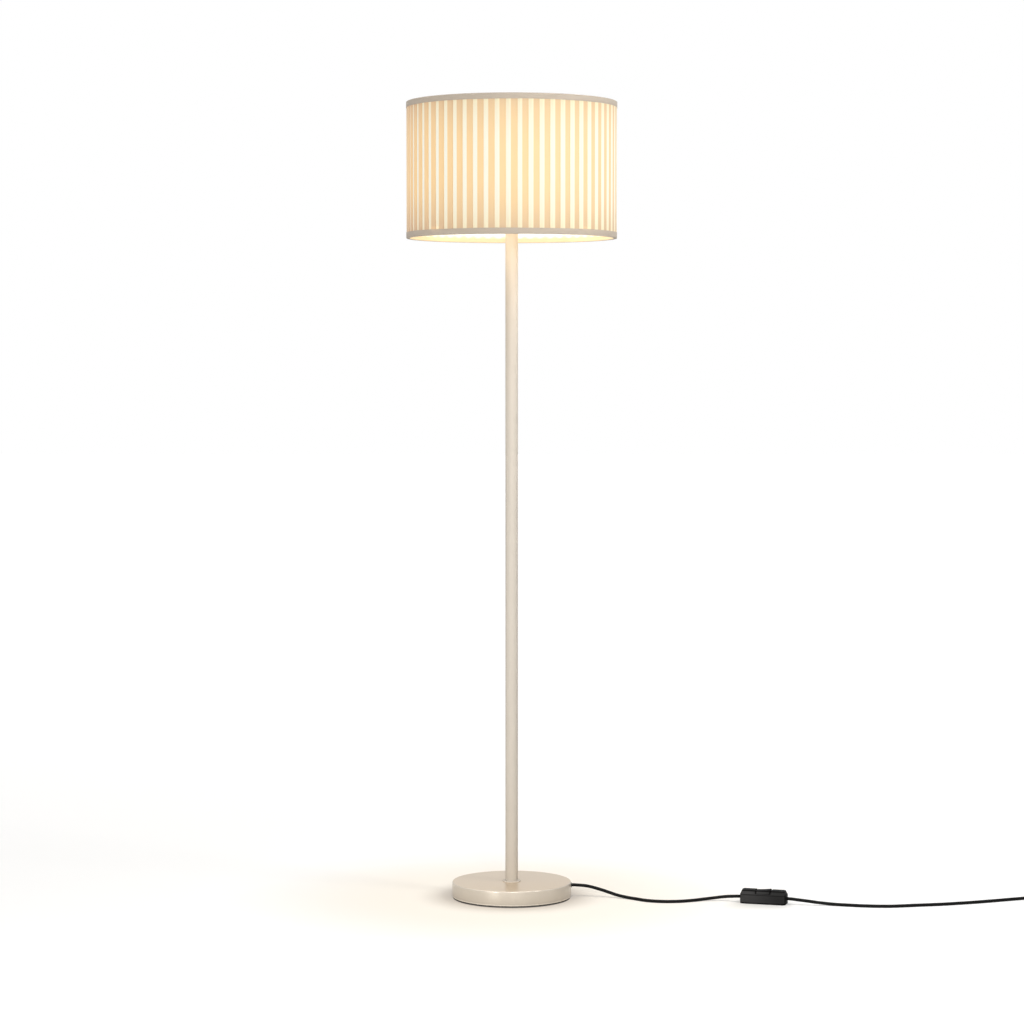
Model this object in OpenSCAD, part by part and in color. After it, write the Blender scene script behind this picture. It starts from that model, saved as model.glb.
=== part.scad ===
// Floor lamp with a knife-pleated drum shade, a straight pole and a round weighted base.
// Millimetres. The origin is on the floor under the middle of the base, +Z is up,
// and the mains lead leaves the base towards +X.

/* [Base] */
// Outer diameter of the base cover
base_d = 228; // [190:1:320]
// Height of the base cover from its rim to its flat top
base_h = 27.3; // [27:0.1:45]
// Sheet thickness of the spun cover
cover_t = 1.2; // [0.8:0.1:2]
// Radius of the rounded shoulder of the cover
shoulder_r = 2.2; // [2:0.1:5]
// Thickness of the soft pad under the base
pad_t = 2.5; // [1:0.5:5]
// How far the pad lies inside the edge of the cover
pad_inset = 3; // [1:0.5:10]
// Thickness of the steel plate that closes the base
plate_t = 1.2; // [0.8:0.1:3]
// Radius of the pocket under the weight that takes the nut
pocket_r = 21; // [18:1:40]
// Thickness of the weight above that pocket
web_t = 7; // [5:0.5:10]
// Width of the slot that leads the cord through the weight
slot_w = 8.4; // [7.5:0.1:14]
// Height of the cord's exit above the floor
exit_z = 22; // [18:0.5:24]
// Diameter of the collar round the foot of the pole
collar_d = 35; // [30:1:60]
// Thickness of that collar
collar_t = 1.5; // [1:0.1:4]

/* [Pole] */
// Outer diameter of the pole
pole_d = 24; // [20:0.5:34]
// Wall of the pole
pole_wall = 1.2; // [0.8:0.1:2]
// Length of the pole
pole_len = 1247; // [700:1:1600]
// Length of the threaded plug welded into each end of the pole
insert_len = 15; // [10:1:30]
// Diameter of the hollow threaded nipples
nipple_d = 10; // [9.5:0.5:12]
// Bore of the nipples, which the cord passes
nipple_bore = 7.6; // [7:0.1:8]

/* [Lampholder] */
// Height of the domed cap of the lampholder
cap_h = 24; // [20:1:34]
// Outer diameter of the lampholder's threaded body
holder_d = 39.4; // [37:0.1:44]
// Height of the lampholder's body above its cap
holder_h = 39; // [36:1:46]
// Diameter of the flange that the shade rests on
flange_d = 50; // [46:1:60]
// Thickness of that flange
flange_t = 2.5; // [1.5:0.5:5]
// Wall of the lampholder's cap
cap_wall = 2; // [1.5:0.1:3]
// Outer diameter of the metal thread sleeve
sleeve_d = 28.2; // [28:0.1:29]
// Wall of that sleeve
sleeve_t = 0.4; // [0.3:0.1:0.5]
// Outer diameter of the ring that clamps the shade
ring_d = 54; // [50:1:64]
// Height of that ring
ring_h = 6.4; // [5:0.2:10]

/* [Bulb] */
// Length of the bulb from its contact to its crown
bulb_len = 108; // [95:1:120]
// Diameter of the bulb's globe
bulb_d = 60; // [55:1:70]
// Outer diameter of the bulb's screw cap
screw_d = 26.4; // [25.5:0.1:26.6]
// Wall of the globe
globe_t = 1; // [0.6:0.1:2]

/* [Shade] */
// Outer diameter of the shade over its tape
shade_d = 400; // [300:5:500]
// Height of the shade
shade_h = 257; // [180:1:350]
// How far the fitter lies above the lower rim
recess = 46; // [25:1:60]
// Number of pleats round the shade
pleats = 60; // [36:1:90]
// Share of each pleat that lies three layers thick
overlap = 0.54; // [0.3:0.01:0.7]
// Bearing of the first single layer of cloth, counted from the front
first_pleat = 4.08; // [0:0.01:6]
// Thickness of the pleated cloth
cloth_t = 0.45; // [0.3:0.05:0.6]
// Air between the layers of cloth
cloth_gap = 0.25; // [0.15:0.05:0.4]
// Thickness of the stiff lining behind the cloth
lining_t = 0.8; // [0.5:0.1:1.5]
// Thickness of the tape on the rims
tape_t = 0.5; // [0.3:0.1:1]
// Height of the tape on the outside
tape_h = 11; // [6:0.5:20]
// Height of the tape that is folded to the inside
tape_in_h = 8; // [6:0.5:15]
// Diameter of the wire of the rims and arms
wire_d = 3; // [2:0.1:4]
// Number of arms that carry the fitter ring
arms = 3; // [3:1:6]
// Thickness of the flat fitter ring
fitter_t = 1.5; // [1:0.1:3]
// Width of the fitter ring
fitter_w = 9.5; // [8:0.5:14]

/* [Cord] */
// Diameter of the round mains lead
cord_d = 6.2; // [5.5:0.1:6.5]
// Diameter of each insulated wire inside the lead
wire_core_d = 2.2; // [1.8:0.1:2.4]
// Radius of the outer turn of the put-away coil
coil_r = 42; // [38:1:60]
// Number of turns in the coil
coil_turns = 4.25; // [2.25:1:6.25]
// Distance between turns that lie side by side
coil_step = 6.75; // [6.65:0.05:8]
// Thickness of the band that holds the coil
tie_t = 0.6; // [0.4:0.1:1]
// Width of that band
tie_w = 8; // [5:1:15]

/* [Switch] */
// Length of the in-line switch
switch_len = 88; // [80:1:110]
// Width of the switch
switch_w = 33; // [32:1:44]
// Height of the switch
switch_h = 25.5; // [24:0.5:32]
// Height of the cord's middle, where the two shells of the switch meet
switch_split = 10.5; // [9:0.5:12]
// Height at which the upper shell begins to slope inwards
slope_z = 17.5; // [16:0.5:19]
// How far the slope draws the upper shell in
slope_in = 7; // [4:0.5:7]
// Corner radius of the switch seen from above
switch_r = 7; // [5:0.5:9]
// Wall of the switch's shells
switch_t = 1.8; // [1.4:0.1:2]
// Length of the rocker
rocker_len = 28; // [24:1:32]
// Distance from each side of the switch to the rocker
rocker_side = 2.4; // [2:0.1:3.5]
// Width of the gap along each side of the rocker
rocker_gap = 1; // [0.4:0.1:1.2]
// Angle that the rocker tips between off and on
rocker_tip = 9; // [6:1:12]

/* [Plug] */
// Width of the plug's body
plug_w = 35; // [33:1:38]
// Thickness of the plug's body
plug_t = 13.8; // [13:0.2:16]
// Length of the plug's body
plug_len = 27; // [22:1:40]
// Length of the ribbed relief behind the plug
relief_len = 22; // [15:1:40]
// Length of the two pins
pin_len = 19; // [17:1:20]
// Diameter of the pins
pin_d = 4; // [3.8:0.1:4.8]
// Distance between the pins
pin_gap = 18.6; // [17.5:0.1:19.2]

/* [Fits] */
// Clearance between pieces that move against each other
running = 0.3; // [0.2:0.05:0.4]
// Clearance between pieces that are fitted together
fitted = 0.1; // [0.05:0.05:0.2]

/* [Hidden] */
$fn = 96;

// Colours
metal = [0.80, 0.75, 0.68];
steel = [0.72, 0.73, 0.75];
brass = [0.85, 0.70, 0.38];
iron = [0.28, 0.28, 0.30];
ivory = [0.95, 0.88, 0.74];
tape = [0.78, 0.72, 0.63];
white = [0.93, 0.93, 0.91];
black = [0.10, 0.10, 0.11];

// Heights along the lamp
base_r = base_d / 2;
base_top = pad_t + base_h;
roof_z = base_top - cover_t;
weight_z = pad_t + plate_t + running;
pocket_z = roof_z - web_t;
washer_t = 1.5;
nut_t = 4.7;
nut_af = 15;
nipple_z = pocket_z - washer_t - nut_t - 1;
pole_z = base_top + collar_t;
pole_top = pole_z + pole_len;
pole_in_r = pole_d / 2 - pole_wall;
nipple_r = nipple_d / 2 - fitted / 2;
thread_r = nipple_d / 2;
clear_r = nipple_d / 2 + 0.3;
nipple_up = 9;

// Lampholder, measured up from the top of the pole
holder_r = holder_d / 2;
seat_z = pole_top + cap_h;
mouth_z = seat_z + holder_h;
block_top = seat_z + 8.7;
block_h = 11.7;
sleeve_r = sleeve_d / 2;
sleeve_z = block_top + 1.8;
contact_t = 0.5;
contact_rise = 2.5;
fitter_z = seat_z + flange_t + running;
ring_z = fitter_z + fitter_t + running;
ring_in_r = holder_r + running;

// Bulb, measured up from its contact
bulb_z = block_top + contact_rise + contact_t + 0.4;
bulb_r = bulb_d / 2;
screw_r = screw_d / 2;
screw_top = 27;
globe_c = bulb_len - bulb_r;
cone_from = [screw_r + 0.8, screw_top];
cone_d = norm([0, globe_c] - cone_from);
cone_a = atan2(globe_c - cone_from[1], -cone_from[0]) - asin(bulb_r / cone_d);
cone_run = sqrt(cone_d * cone_d - bulb_r * bulb_r);
house_run = cone_run * 0.66;

// Shade, radii from the outside inwards
shade_r = shade_d / 2;
shade_z = fitter_z - recess;
shade_top = shade_z + shade_h;
layer = cloth_t + cloth_gap;
cloth_out = shade_r - tape_t - fitted;
cloth_r3 = cloth_out - cloth_t / 2;
cloth_r2 = cloth_r3 - layer;
cloth_r1 = cloth_r2 - layer;
pitch = 360 / pleats;
low_share = 0.08;
high_share = 0.1;
crease_a = cloth_t / cloth_out * 180 / PI;
cloth_sag = cloth_out * (1 - cos(pitch * (overlap + high_share) / 2));
lining_r = cloth_r1 - cloth_t / 2 - cloth_sag - fitted / 2;
wire_r = lining_r - lining_t - fitted - wire_d / 2;
tape_in_r = wire_r - wire_d / 2 - fitted - tape_t;
cloth_z = shade_z + tape_t + fitted;
cloth_h = shade_h - 2 * (tape_t + fitted);
wire_z = cloth_z + wire_d / 2;
arm_a = 90;
arm_in = flange_d / 2 + wire_d / 2 + running;
arm_z = fitter_z + fitter_t / 2;

// Cord
cord_r = cord_d / 2;
bush_flange = 1;
bush_len = 20;
bush_r = cord_r + 1;
face_x = base_r + bush_flange;
bend_r = 9;
bend_z = pad_t + plate_t + running + cord_r;
inner_top = pole_top + 6;
coil_at = [1050, 22];
coil_z = cord_r + tie_t + 0.05;
coil_rise = cord_d + 0.55;
rings_per_turn = 24;
tail_z = plug_t / 2;

// Switch and plug: their place and their direction
switch_at = [478.5, -69.5];
switch_yaw = -16;
rocker_z = switch_split + 4;
rocker_w = switch_w - 2 * rocker_side;
axle_r = 1.5;
screw_x = switch_len / 2 - 15;
screw_y = 9;
plug_at = [coil_at[0] + coil_r, coil_at[1] + 52];

// The coil spirals in on its lower layer, climbs at the middle and spirals out on top
function coil_point(s) =
    let(half = coil_turns / 2)
    let(climb = min(1, max(0, (s - half) * 2 + 0.5)))
    let(r = coil_r - coil_step * (half - abs(s - half)))
    let(a = 360 * s - 90)
    [coil_at[0] + r * cos(a), coil_at[1] + r * sin(a), coil_z + coil_rise * (1 - cos(180 * climb)) / 2];
coil_rings = round(coil_turns * rings_per_turn);
coil_turned = [for (i = [0 : coil_rings]) coil_point(coil_turns * i / coil_rings)];
coil_path = concat(
    [coil_turned[0] - [cord_d, 0, 0]], coil_turned, [coil_turned[coil_rings] + [0, cord_d, 0]]);

// A smooth curve through the points of p, n steps between each two, kept on the floor
function smooth(p, n) =
    let(last = len(p) - 1)
    [
        for (i = [0 : last - 1])
            for (k = [0 : n - 1 + (i == last - 1 ? 1 : 0)])
                let(t = k / n, a = p[max(i - 1, 0)], b = p[i], c = p[i + 1], d = p[min(i + 2, last)])
                let(q = b + t / 2 * (c - a + t * (2 * a - 5 * b + 4 * c - d + t * (3 * b - a - 3 * c + d))))
                [q[0], q[1], max(cord_r, q[2])]
    ];

// A point on the cord's line at one end of the switch, out from its face
function switch_point(side, out) =
    let(x = side * (switch_len / 2 + out))
    [switch_at[0] + x * cos(switch_yaw), switch_at[1] + x * sin(switch_yaw), switch_split];

// The lead from base to switch: down to the floor, forwards, and up again into the switch
route_a = smooth([
    [face_x, 0, exit_z], [face_x + 8, 0, exit_z], [147, -1, 19.8], [175, -7, 13], [204, -19, 5.4],
    [230, -37, cord_r], [257, -60, cord_r], [287, -70, cord_r], [319, -68, cord_r], [348, -57, 3.3],
    [377, -46, 4.6], [407, -47, 8.2], switch_point(-1, 7), switch_point(-1, 0)
], 3);

// The lead from switch to coil
route_b = smooth([
    switch_point(1, 0), switch_point(1, 7), [556, -91, 8.2], [584, -96, 5.2], [614, -101, 3.2],
    [662, -114, cord_r], [710, -118, cord_r], [758, -109, cord_r], [822, -95, cord_r],
    [886, -74, cord_r], [950, -48, cord_r], [998, -29, cord_r], [1029, -21, 3.5], coil_path[0]
], 4);

// The short lead from coil to plug
route_c = smooth([
    coil_path[len(coil_path) - 1], [plug_at[0], coil_at[1] + 28, 8.8],
    [plug_at[0], plug_at[1] - cord_d, tail_z], [plug_at[0], plug_at[1], tail_z]
], 3);

// Least gap between turns, measured on the coil's own points, and the length of each stretch
coil_gap = min([
    for (i = [0 : len(coil_path) - 1])
        for (j = [i + 9 : 1 : len(coil_path) - 1])
            norm(coil_path[i] - coil_path[j])
]) - cord_d;
function route_len(p, i = 1) = i >= len(p) ? 0 : norm(p[i] - p[i - 1]) + route_len(p, i + 1);
echo(least_gap_in_coil = coil_gap);
echo(lengths = [route_len(route_a), route_len(route_b), route_len(coil_path), route_len(route_c)]);

// Direction of v, and the direction of a route at its point i
function unit(v) = v / norm(v);
function heading(p, i) = unit(p[min(i + 1, len(p) - 1)] - p[max(i - 1, 0)]);

// Corners of one ring of a tube, square to its route
function tube_ring(p, i, r, n, up) =
    let(t = heading(p, i), s = unit(cross(t, up)), u = cross(s, t))
    [for (k = [0 : n - 1]) p[i] + r * (cos(360 * k / n) * s + sin(360 * k / n) * u)];

// An arc of n steps in a flat outline
function arc(c, r, a0, a1, n) = [for (i = [0 : n]) let(a = a0 + (a1 - a0) * i / n) c + r * [cos(a), sin(a)]];

// A flat path moved sideways by d
function shift_path(p, d) =
    let(last = len(p) - 1)
    [
        for (i = [0 : last])
            let(a = unit(p[max(i, 1)] - p[max(i, 1) - 1]))
            let(b = unit(p[min(i + 1, last)] - p[min(i, last - 1)]))
            let(m = unit([-a[1] - b[1], a[0] + b[0]]))
            p[i] + m * d / max(0.5, m * [-a[1], a[0]])
    ];

// A tube of n sides along a route
module tube(p, d, n, up = [0, 0, 1]) {
    points = [for (i = [0 : len(p) - 1]) each tube_ring(p, i, d / 2, n, up)];
    last = (len(p) - 1) * n;
    start_cap = [for (k = [1 : n - 2]) [0, k + 1, k]];
    end_cap = [for (k = [1 : n - 2]) [last, last + k, last + k + 1]];
    sides = [
        for (i = [0 : len(p) - 2])
            for (k = [0 : n - 1])
                let(a = i * n + k, b = i * n + (k + 1) % n)
                each [[a, b, b + n], [a, b + n, a + n]]
    ];
    polyhedron(points, concat(start_cap, sides, end_cap), convexity = 10);
}

// A bent strip of sheet metal: a flat path with a thickness, drawn out to a width along Y
module strip(path, t, w) {
    edge = concat(shift_path(path, t / 2), reverse(shift_path(path, -t / 2)));
    rotate([90, 0, 0]) linear_extrude(w, center = true) polygon(edge);
}
function reverse(p) = [for (i = [len(p) - 1 : -1 : 0]) p[i]];

// A ring or a disc between two heights
module ring(r_out, r_in, z0, z1) {
    rotate_extrude() polygon([[r_in, z0], [r_out, z0], [r_out, z1], [r_in, z1]]);
}

// A slab with round corners, seen from above
module slab(l, w, r, z0, z1) {
    translate([0, 0, z0]) linear_extrude(z1 - z0) hull() {
        for (x = [-1, 1])
            for (y = [-1, 1])
                translate([x * (l / 2 - r), y * (w / 2 - r)]) circle(r, $fn = 32);
    }
}

// BASE

// Soft pad that the lamp stands on
module felt_pad() {
    color(black) cylinder(h = pad_t, r = base_r - pad_inset);
}

// Steel disc held in the mouth of the cover
module base_plate() {
    color(steel) translate([0, 0, pad_t]) cylinder(h = plate_t, r = base_r - cover_t - fitted);
}

// Cast disc with a pocket for the nut and a slot for the cord
module base_weight() {
    r = base_r - cover_t - running;
    bevel = shoulder_r;
    color(iron) difference() {
        rotate_extrude() polygon([
            [clear_r, pocket_z], [pocket_r, pocket_z], [pocket_r, weight_z], [r, weight_z],
            [r, roof_z - bevel], [r - bevel, roof_z], [clear_r, roof_z]
        ]);
        translate([pocket_r - 2, -slot_w / 2, weight_z - 1])
            cube([base_r, slot_w, exit_z + cord_r + 1 - weight_z + 1]);
    }
}

// Spun sheet cover with a rounded shoulder and a softened lower edge, open below, with holes for the
// nipple and the bush
module base_cover() {
    r = base_r;
    inner_r = shoulder_r - cover_t;
    hem = cover_t - 0.2;
    outside = concat(
        arc([r - hem, pad_t + hem], hem, -90, 0, 4),
        arc([r - shoulder_r, base_top - shoulder_r], shoulder_r, 0, 90, 6));
    inside = concat(
        arc([r - shoulder_r, base_top - shoulder_r], inner_r, 90, 0, 4), [[r - cover_t, pad_t]]);
    color(metal) difference() {
        rotate_extrude($fn = 128)
            polygon(concat(outside, [[clear_r, base_top], [clear_r, roof_z]], inside));
        translate([base_r - cover_t - 3, 0, exit_z]) rotate([0, 90, 0]) cylinder(h = 6, r = bush_r + fitted);
    }
}

// Round washer under the web of the weight
module base_washer() {
    color(steel) ring(pocket_r - 5, clear_r, pocket_z - washer_t, pocket_z);
}

// Hexagon nut on the nipple
module base_nut() {
    color(steel) translate([0, 0, pocket_z - washer_t - nut_t]) difference() {
        cylinder(h = nut_t, r = nut_af / 2 / cos(30), $fn = 6);
        translate([0, 0, -1]) cylinder(h = nut_t + 2, r = thread_r);
    }
}

// Hollow threaded nipple that ties the weight, the cover and the pole together
module base_nipple() {
    color(brass) ring(nipple_r, nipple_bore / 2, nipple_z, pole_z + insert_len - 1);
}

// Flat collar between cover and pole
module foot_collar() {
    edge = 0.4;
    color(metal) rotate_extrude() polygon([
        [clear_r, base_top], [collar_d / 2, base_top], [collar_d / 2, pole_z - edge],
        [collar_d / 2 - edge, pole_z], [clear_r, pole_z]
    ]);
}

// POLE

// Turned plug with a threaded bore, welded into an end of the pole
module insert(z) {
    edge = 0.8;
    r = pole_in_r - fitted / 2;
    color(steel) rotate_extrude() polygon([
        [thread_r, z], [r - edge, z], [r, z + edge], [r, z + insert_len - edge],
        [r - edge, z + insert_len], [thread_r, z + insert_len]
    ]);
}
module foot_insert() {
    insert(pole_z);
}
module top_insert() {
    insert(pole_top - insert_len);
}

// One straight tube
module pole_tube() {
    color(metal) ring(pole_d / 2, pole_in_r, pole_z, pole_top);
}

// Hollow nipple that carries the lampholder
module top_nipple() {
    color(brass) ring(nipple_r, nipple_bore / 2, pole_top - insert_len + 2, pole_top + nipple_up);
}

// LAMPHOLDER

// Domed cap, screwed on the top nipple
module holder_cap() {
    neck = pole_d / 2;
    dome = 0.62 * cap_h;
    floor_t = 3;
    out_r = holder_r - fitted;
    in_r = out_r - cap_wall;
    boss_r = thread_r + 3.2;
    outside = [
        for (a = [0 : 15 : 90])
            [neck + (out_r - neck) * sin(a), pole_top + dome * (1 - cos(a))]
    ];
    inside = [
        for (a = [90 : -15 : 15])
            [boss_r + 1 + (in_r - boss_r - 1) * sin(a), pole_top + floor_t + (dome - floor_t) * (1 - cos(a))]
    ];
    color(white) rotate_extrude() polygon(concat(
        [[thread_r, pole_top]], outside, [[out_r, seat_z], [in_r, seat_z]], inside,
        [
            [boss_r, pole_top + floor_t], [boss_r, pole_top + nipple_up + 1],
            [thread_r, pole_top + nipple_up + 1]
        ]));
}

// Body with the flange that carries the shade and an outside thread for the shade ring
module holder_body() {
    bore = sleeve_r + 0.2;
    cavity = holder_r - cap_wall - fitted;
    shoulder = block_top + 0.3;
    edge = 0.8;
    color(white) rotate_extrude() polygon([
        [cavity, seat_z], [flange_d / 2, seat_z], [flange_d / 2, seat_z + flange_t],
        [holder_r, seat_z + flange_t], [holder_r, mouth_z - edge], [holder_r - edge, mouth_z],
        [bore, mouth_z], [bore, shoulder + 2], [sleeve_r - 1.2, shoulder + 2],
        [sleeve_r - 1.2, shoulder], [cavity, shoulder]
    ]);
}

// Block that holds the contacts, with two wells for the wires and two for the screws
module terminal_block() {
    r = holder_r - cap_wall - fitted - running;
    color(white) difference() {
        translate([0, 0, block_top - block_h]) cylinder(h = block_h, r = r);
        for (x = [-1, 1]) {
            translate([x * 7, 0, block_top - block_h - 1])
                cylinder(h = 8, r = wire_core_d / 2 + 0.2, $fn = 32);
            translate([x * 7, 9, block_top - block_h - 1]) cylinder(h = 8, r = 1.9, $fn = 32);
        }
    }
}

// The two screws that clamp the wires
module terminal_screws() {
    color(brass) for (x = [-1, 1])
        translate([x * 7, 9, block_top - block_h]) cylinder(h = 7 - fitted, r = 1.8, $fn = 32);
}

// Metal sleeve that the bulb screws into
module thread_sleeve() {
    color(brass) ring(sleeve_r, sleeve_r - sleeve_t, sleeve_z + 1, mouth_z - 2);
}

// Spring tongue under the bulb's contact
module centre_contact() {
    z = block_top + contact_t / 2;
    color(brass)
        strip([[-8, z], [-2, z], [0, z + 0.6], [3, z + contact_rise], [6, z + contact_rise]], contact_t, 6);
}

// CORD INSIDE THE LAMP

// Strain relief with a flange outside the cover, which grips the lead and tapers inwards
module cord_bush() {
    groove = 0.8;
    grip = 4;
    lip = 0.4;
    color(black) translate([face_x, 0, exit_z]) rotate([0, -90, 0]) rotate_extrude($fn = 48) polygon([
        [cord_r, 0], [bush_r + groove - lip, 0], [bush_r + groove, lip], [bush_r + groove, bush_flange],
        [bush_r, bush_flange], [bush_r, bush_flange + grip], [cord_r + lip, bush_flange + bush_len],
        [cord_r, bush_flange + bush_len]
    ]);
}

// The lead from the bush through the weight, the nipples and the pole
module inner_cord() {
    inner_end = face_x - bush_flange - bush_len;
    turn = [for (a = [0 : 22.5 : 90]) [bend_r * (1 - sin(a)), 0, bend_z + bend_r * (1 - cos(a))]];
    route = concat(
        [
            [face_x, 0, exit_z], [inner_end, 0, exit_z], [inner_end - 14, 0, exit_z - 1.6],
            [(inner_end + pocket_r) / 2, 0, (exit_z + bend_z) / 2], [pocket_r + 16, 0, bend_z + 1.4],
            [pocket_r + 2, 0, bend_z]
        ],
        turn, [[0, 0, (bend_z + inner_top) / 2], [0, 0, inner_top]]);
    color(black) tube(route, cord_d - fitted, 8, [0, 1, 0]);
}

// The two insulated wires from the end of the lead to the terminals
module lead_wires() {
    foot = inner_top;
    end = block_top - block_h + 6;
    bottom = block_top - block_h - 2;
    color([0.45, 0.25, 0.15]) for (x = [-1, 1])
        tube([
            [x * 1.4, 0, foot], [x * 1.4, 0, foot + 2], [x * 4, 0, foot + 5],
            [x * 7, 0, bottom], [x * 7, 0, end]
        ], wire_core_d, 8, [0, 1, 0]);
}

// SHADE

// Flat ring that sits on the lampholder, with straight wire arms to the lower rim
module fitter_spider() {
    fall = arm_z - wire_z;
    reach = wire_r - arm_in;
    arm_len = norm([reach - 1, fall * (1 - 1 / reach)]) - wire_d / 2 - fitted / 2;
    color(steel) union() {
        difference() {
            translate([0, 0, fitter_z]) cylinder(h = fitter_t, r = holder_r + 2 * running + fitter_w);
            translate([0, 0, fitter_z - 1]) cylinder(h = fitter_t + 2, r = holder_r + 2 * running);
        }
        for (i = [0 : arms - 1])
            rotate([0, 0, arm_a + 360 * i / arms]) translate([arm_in + 1, 0, arm_z - fall / reach])
                rotate([0, 90 + atan(fall / reach), 0])
                    cylinder(h = arm_len, d = wire_d - 2 * fitted, $fn = 24);
    }
}

// Wire hoops in the rims
module hoop(z) {
    color(steel) translate([0, 0, z])
        rotate_extrude($fn = 128) translate([wire_r, 0]) circle(wire_d / 2, $fn = 24);
}
module lower_wire_ring() {
    hoop(wire_z);
}
module upper_wire_ring() {
    hoop(shade_top - tape_t - fitted - wire_d / 2);
}

// Stiff translucent drum that carries the cloth
module shade_lining() {
    color(white) translate([0, 0, cloth_z]) difference() {
        cylinder(h = cloth_h, r = lining_r, $fn = 128);
        translate([0, 0, -1]) cylinder(h = cloth_h + 2, r = lining_r - lining_t, $fn = 128);
    }
}

// One pleat of the cloth. It rises from under the fold before it, lies flat on top, folds back under
// itself, and folds forward again to come out as the next pleat. The strip lies on three levels.
// Bearings of pleat k: where it leaves the lowest level, where it reaches the top one, both folds
function at(r, a) = r * [cos(a), sin(a)];
function leave(k) = fold(k) - pitch * (1 - low_share);
function reach(k) = back(k) - pitch * high_share;
function fold(k) = first_pleat - 90 + pitch * (k + (1 + overlap) / 2);
function back(k) = fold(k) - pitch * overlap;

// Corners of the side of the strip that shows, and of its hidden side
function front_side(k) =
    let(h = cloth_t / 2)
    [
        at(cloth_r1 + h, leave(k)), at(cloth_r3 + h, reach(k)), at(cloth_r3 + h, fold(k)),
        at(cloth_r2 - h, fold(k)), at((cloth_r1 + cloth_r2) / 2, back(k) + crease_a)
    ];
function rear_side(k) =
    let(h = cloth_t / 2)
    [
        at(cloth_r1 - h, leave(k)), at(cloth_r3 - h, reach(k)),
        at((cloth_r3 + cloth_r2) / 2, fold(k) - crease_a),
        at(cloth_r2 + h, back(k)),
        at(cloth_r1 - h, back(k))
    ];

// One continuous strip of cloth in knife pleats, all the way round
module pleated_cloth() {
    front = [for (k = [0 : pleats - 1]) each front_side(k)];
    rear = [for (k = [0 : pleats - 1]) each rear_side(k)];
    n = len(front);
    color(ivory) translate([0, 0, cloth_z]) linear_extrude(cloth_h)
        polygon(concat(front, rear), [[for (i = [0 : n - 1]) i], [for (i = [0 : n - 1]) n + i]]);
}

// Tape folded over a rim. Slits in the inner side let the arms through
module tape_profile() {
    out = shade_r;
    soft = 0.35;
    polygon([
        [tape_in_r, soft], [tape_in_r + soft, 0], [out - soft, 0], [out, soft], [out, tape_h],
        [out - tape_t, tape_h], [out - tape_t, tape_t], [tape_in_r + tape_t, tape_t],
        [tape_in_r + tape_t, tape_in_h], [tape_in_r, tape_in_h]
    ]);
}
module lower_tape() {
    color(tape) difference() {
        translate([0, 0, shade_z]) rotate_extrude($fn = 128) tape_profile();
        for (i = [0 : arms - 1])
            rotate([0, 0, arm_a + 360 * i / arms])
                translate([tape_in_r - 2, -wire_d / 2 - 0.5, wire_z - wire_d / 2])
                    cube([3, wire_d + 1, tape_in_h]);
    }
}
module upper_tape() {
    color(tape) translate([0, 0, shade_top]) mirror([0, 0, 1]) rotate_extrude($fn = 128) tape_profile();
}

// Threaded ring with finger grips that clamps the fitter
module shade_ring() {
    r = ring_d / 2;
    grips = 16;
    edge = 1;
    color(white) difference() {
        rotate_extrude() polygon([
            [ring_in_r, ring_z], [r, ring_z],
            [r, ring_z + ring_h - 2 * edge], [r - 2 * edge, ring_z + ring_h],
            [ring_in_r, ring_z + ring_h]
        ]);
        for (i = [0 : grips - 1])
            rotate([0, 0, 360 * (i + 0.5) / grips]) translate([r + 0.6, 0, ring_z - 1])
                cylinder(h = ring_h + 2, r = 1.6, $fn = 24);
    }
}

// BULB

// Distance along the cone that joins screw cap and globe
function cone_at(d) = cone_from + d * [cos(cone_a), sin(cone_a)];

// Opal dome
module bulb_globe() {
    touch = atan2(cone_at(cone_run)[1] - globe_c, cone_at(cone_run)[0]);
    outside = concat([cone_at(house_run)], arc([0, globe_c], bulb_r, touch, 89.9, 14));
    inside = concat(
        arc([0, globe_c], bulb_r - globe_t, 89.9, touch, 14), [cone_at(house_run) - [globe_t, 0]]);
    color([1, 0.96, 0.86]) translate([0, 0, bulb_z]) rotate_extrude()
        polygon(concat(outside, [[0, bulb_len], [0, bulb_len - globe_t]], inside));
}

// White housing that holds the driver and reaches down into the screw cap
module bulb_housing() {
    spigot = screw_r - 0.6;
    lip = cone_at(house_run) - [globe_t + 0.3, 0];
    color(white) translate([0, 0, bulb_z]) rotate_extrude() polygon([
        [0, 8], [spigot, 8], [spigot, screw_top + 0.2], cone_from + [0, 0.2],
        cone_at(house_run) - [0, 0.1], lip - [0, 0.1], lip + [0, 1.5], [0, lip[1] + 1.5]
    ]);
}

// Metal screw cap
module bulb_cap() {
    t = 0.5;
    color(steel) translate([0, 0, bulb_z]) rotate_extrude() polygon([
        [7, 4], [10.5, 4.4], [screw_r, 7.5], [screw_r, screw_top], [screw_r - t, screw_top],
        [screw_r - t, 7.8], [10.3, 4.9], [7, 4.5]
    ]);
}

// Dark insulator between screw cap and contact
module bulb_insulator() {
    color(black) translate([0, 0, bulb_z]) rotate_extrude() polygon([
        [0, 1.2], [4.8, 1.2], [10.4, 4.3], [6.9, 3.95], [6.9, 4.6], [0, 4.6]
    ]);
}

// Round contact at the foot of the bulb
module bulb_contact() {
    color(steel) translate([0, 0, bulb_z]) rotate_extrude() polygon([
        [0, 0], [2.6, 0], [4.2, 0.5], [4.6, 1.2], [0, 1.2]
    ]);
}

// CORD ON THE FLOOR

module cord_to_switch() {
    color(black) tube(route_a, cord_d, 8);
}
module cord_to_coil() {
    color(black) tube(route_b, cord_d, 8);
}
module cord_coil() {
    color(black) tube(coil_path, cord_d, 6);
}
module cord_tail() {
    color(black) tube(route_c, cord_d, 8);
}

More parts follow.
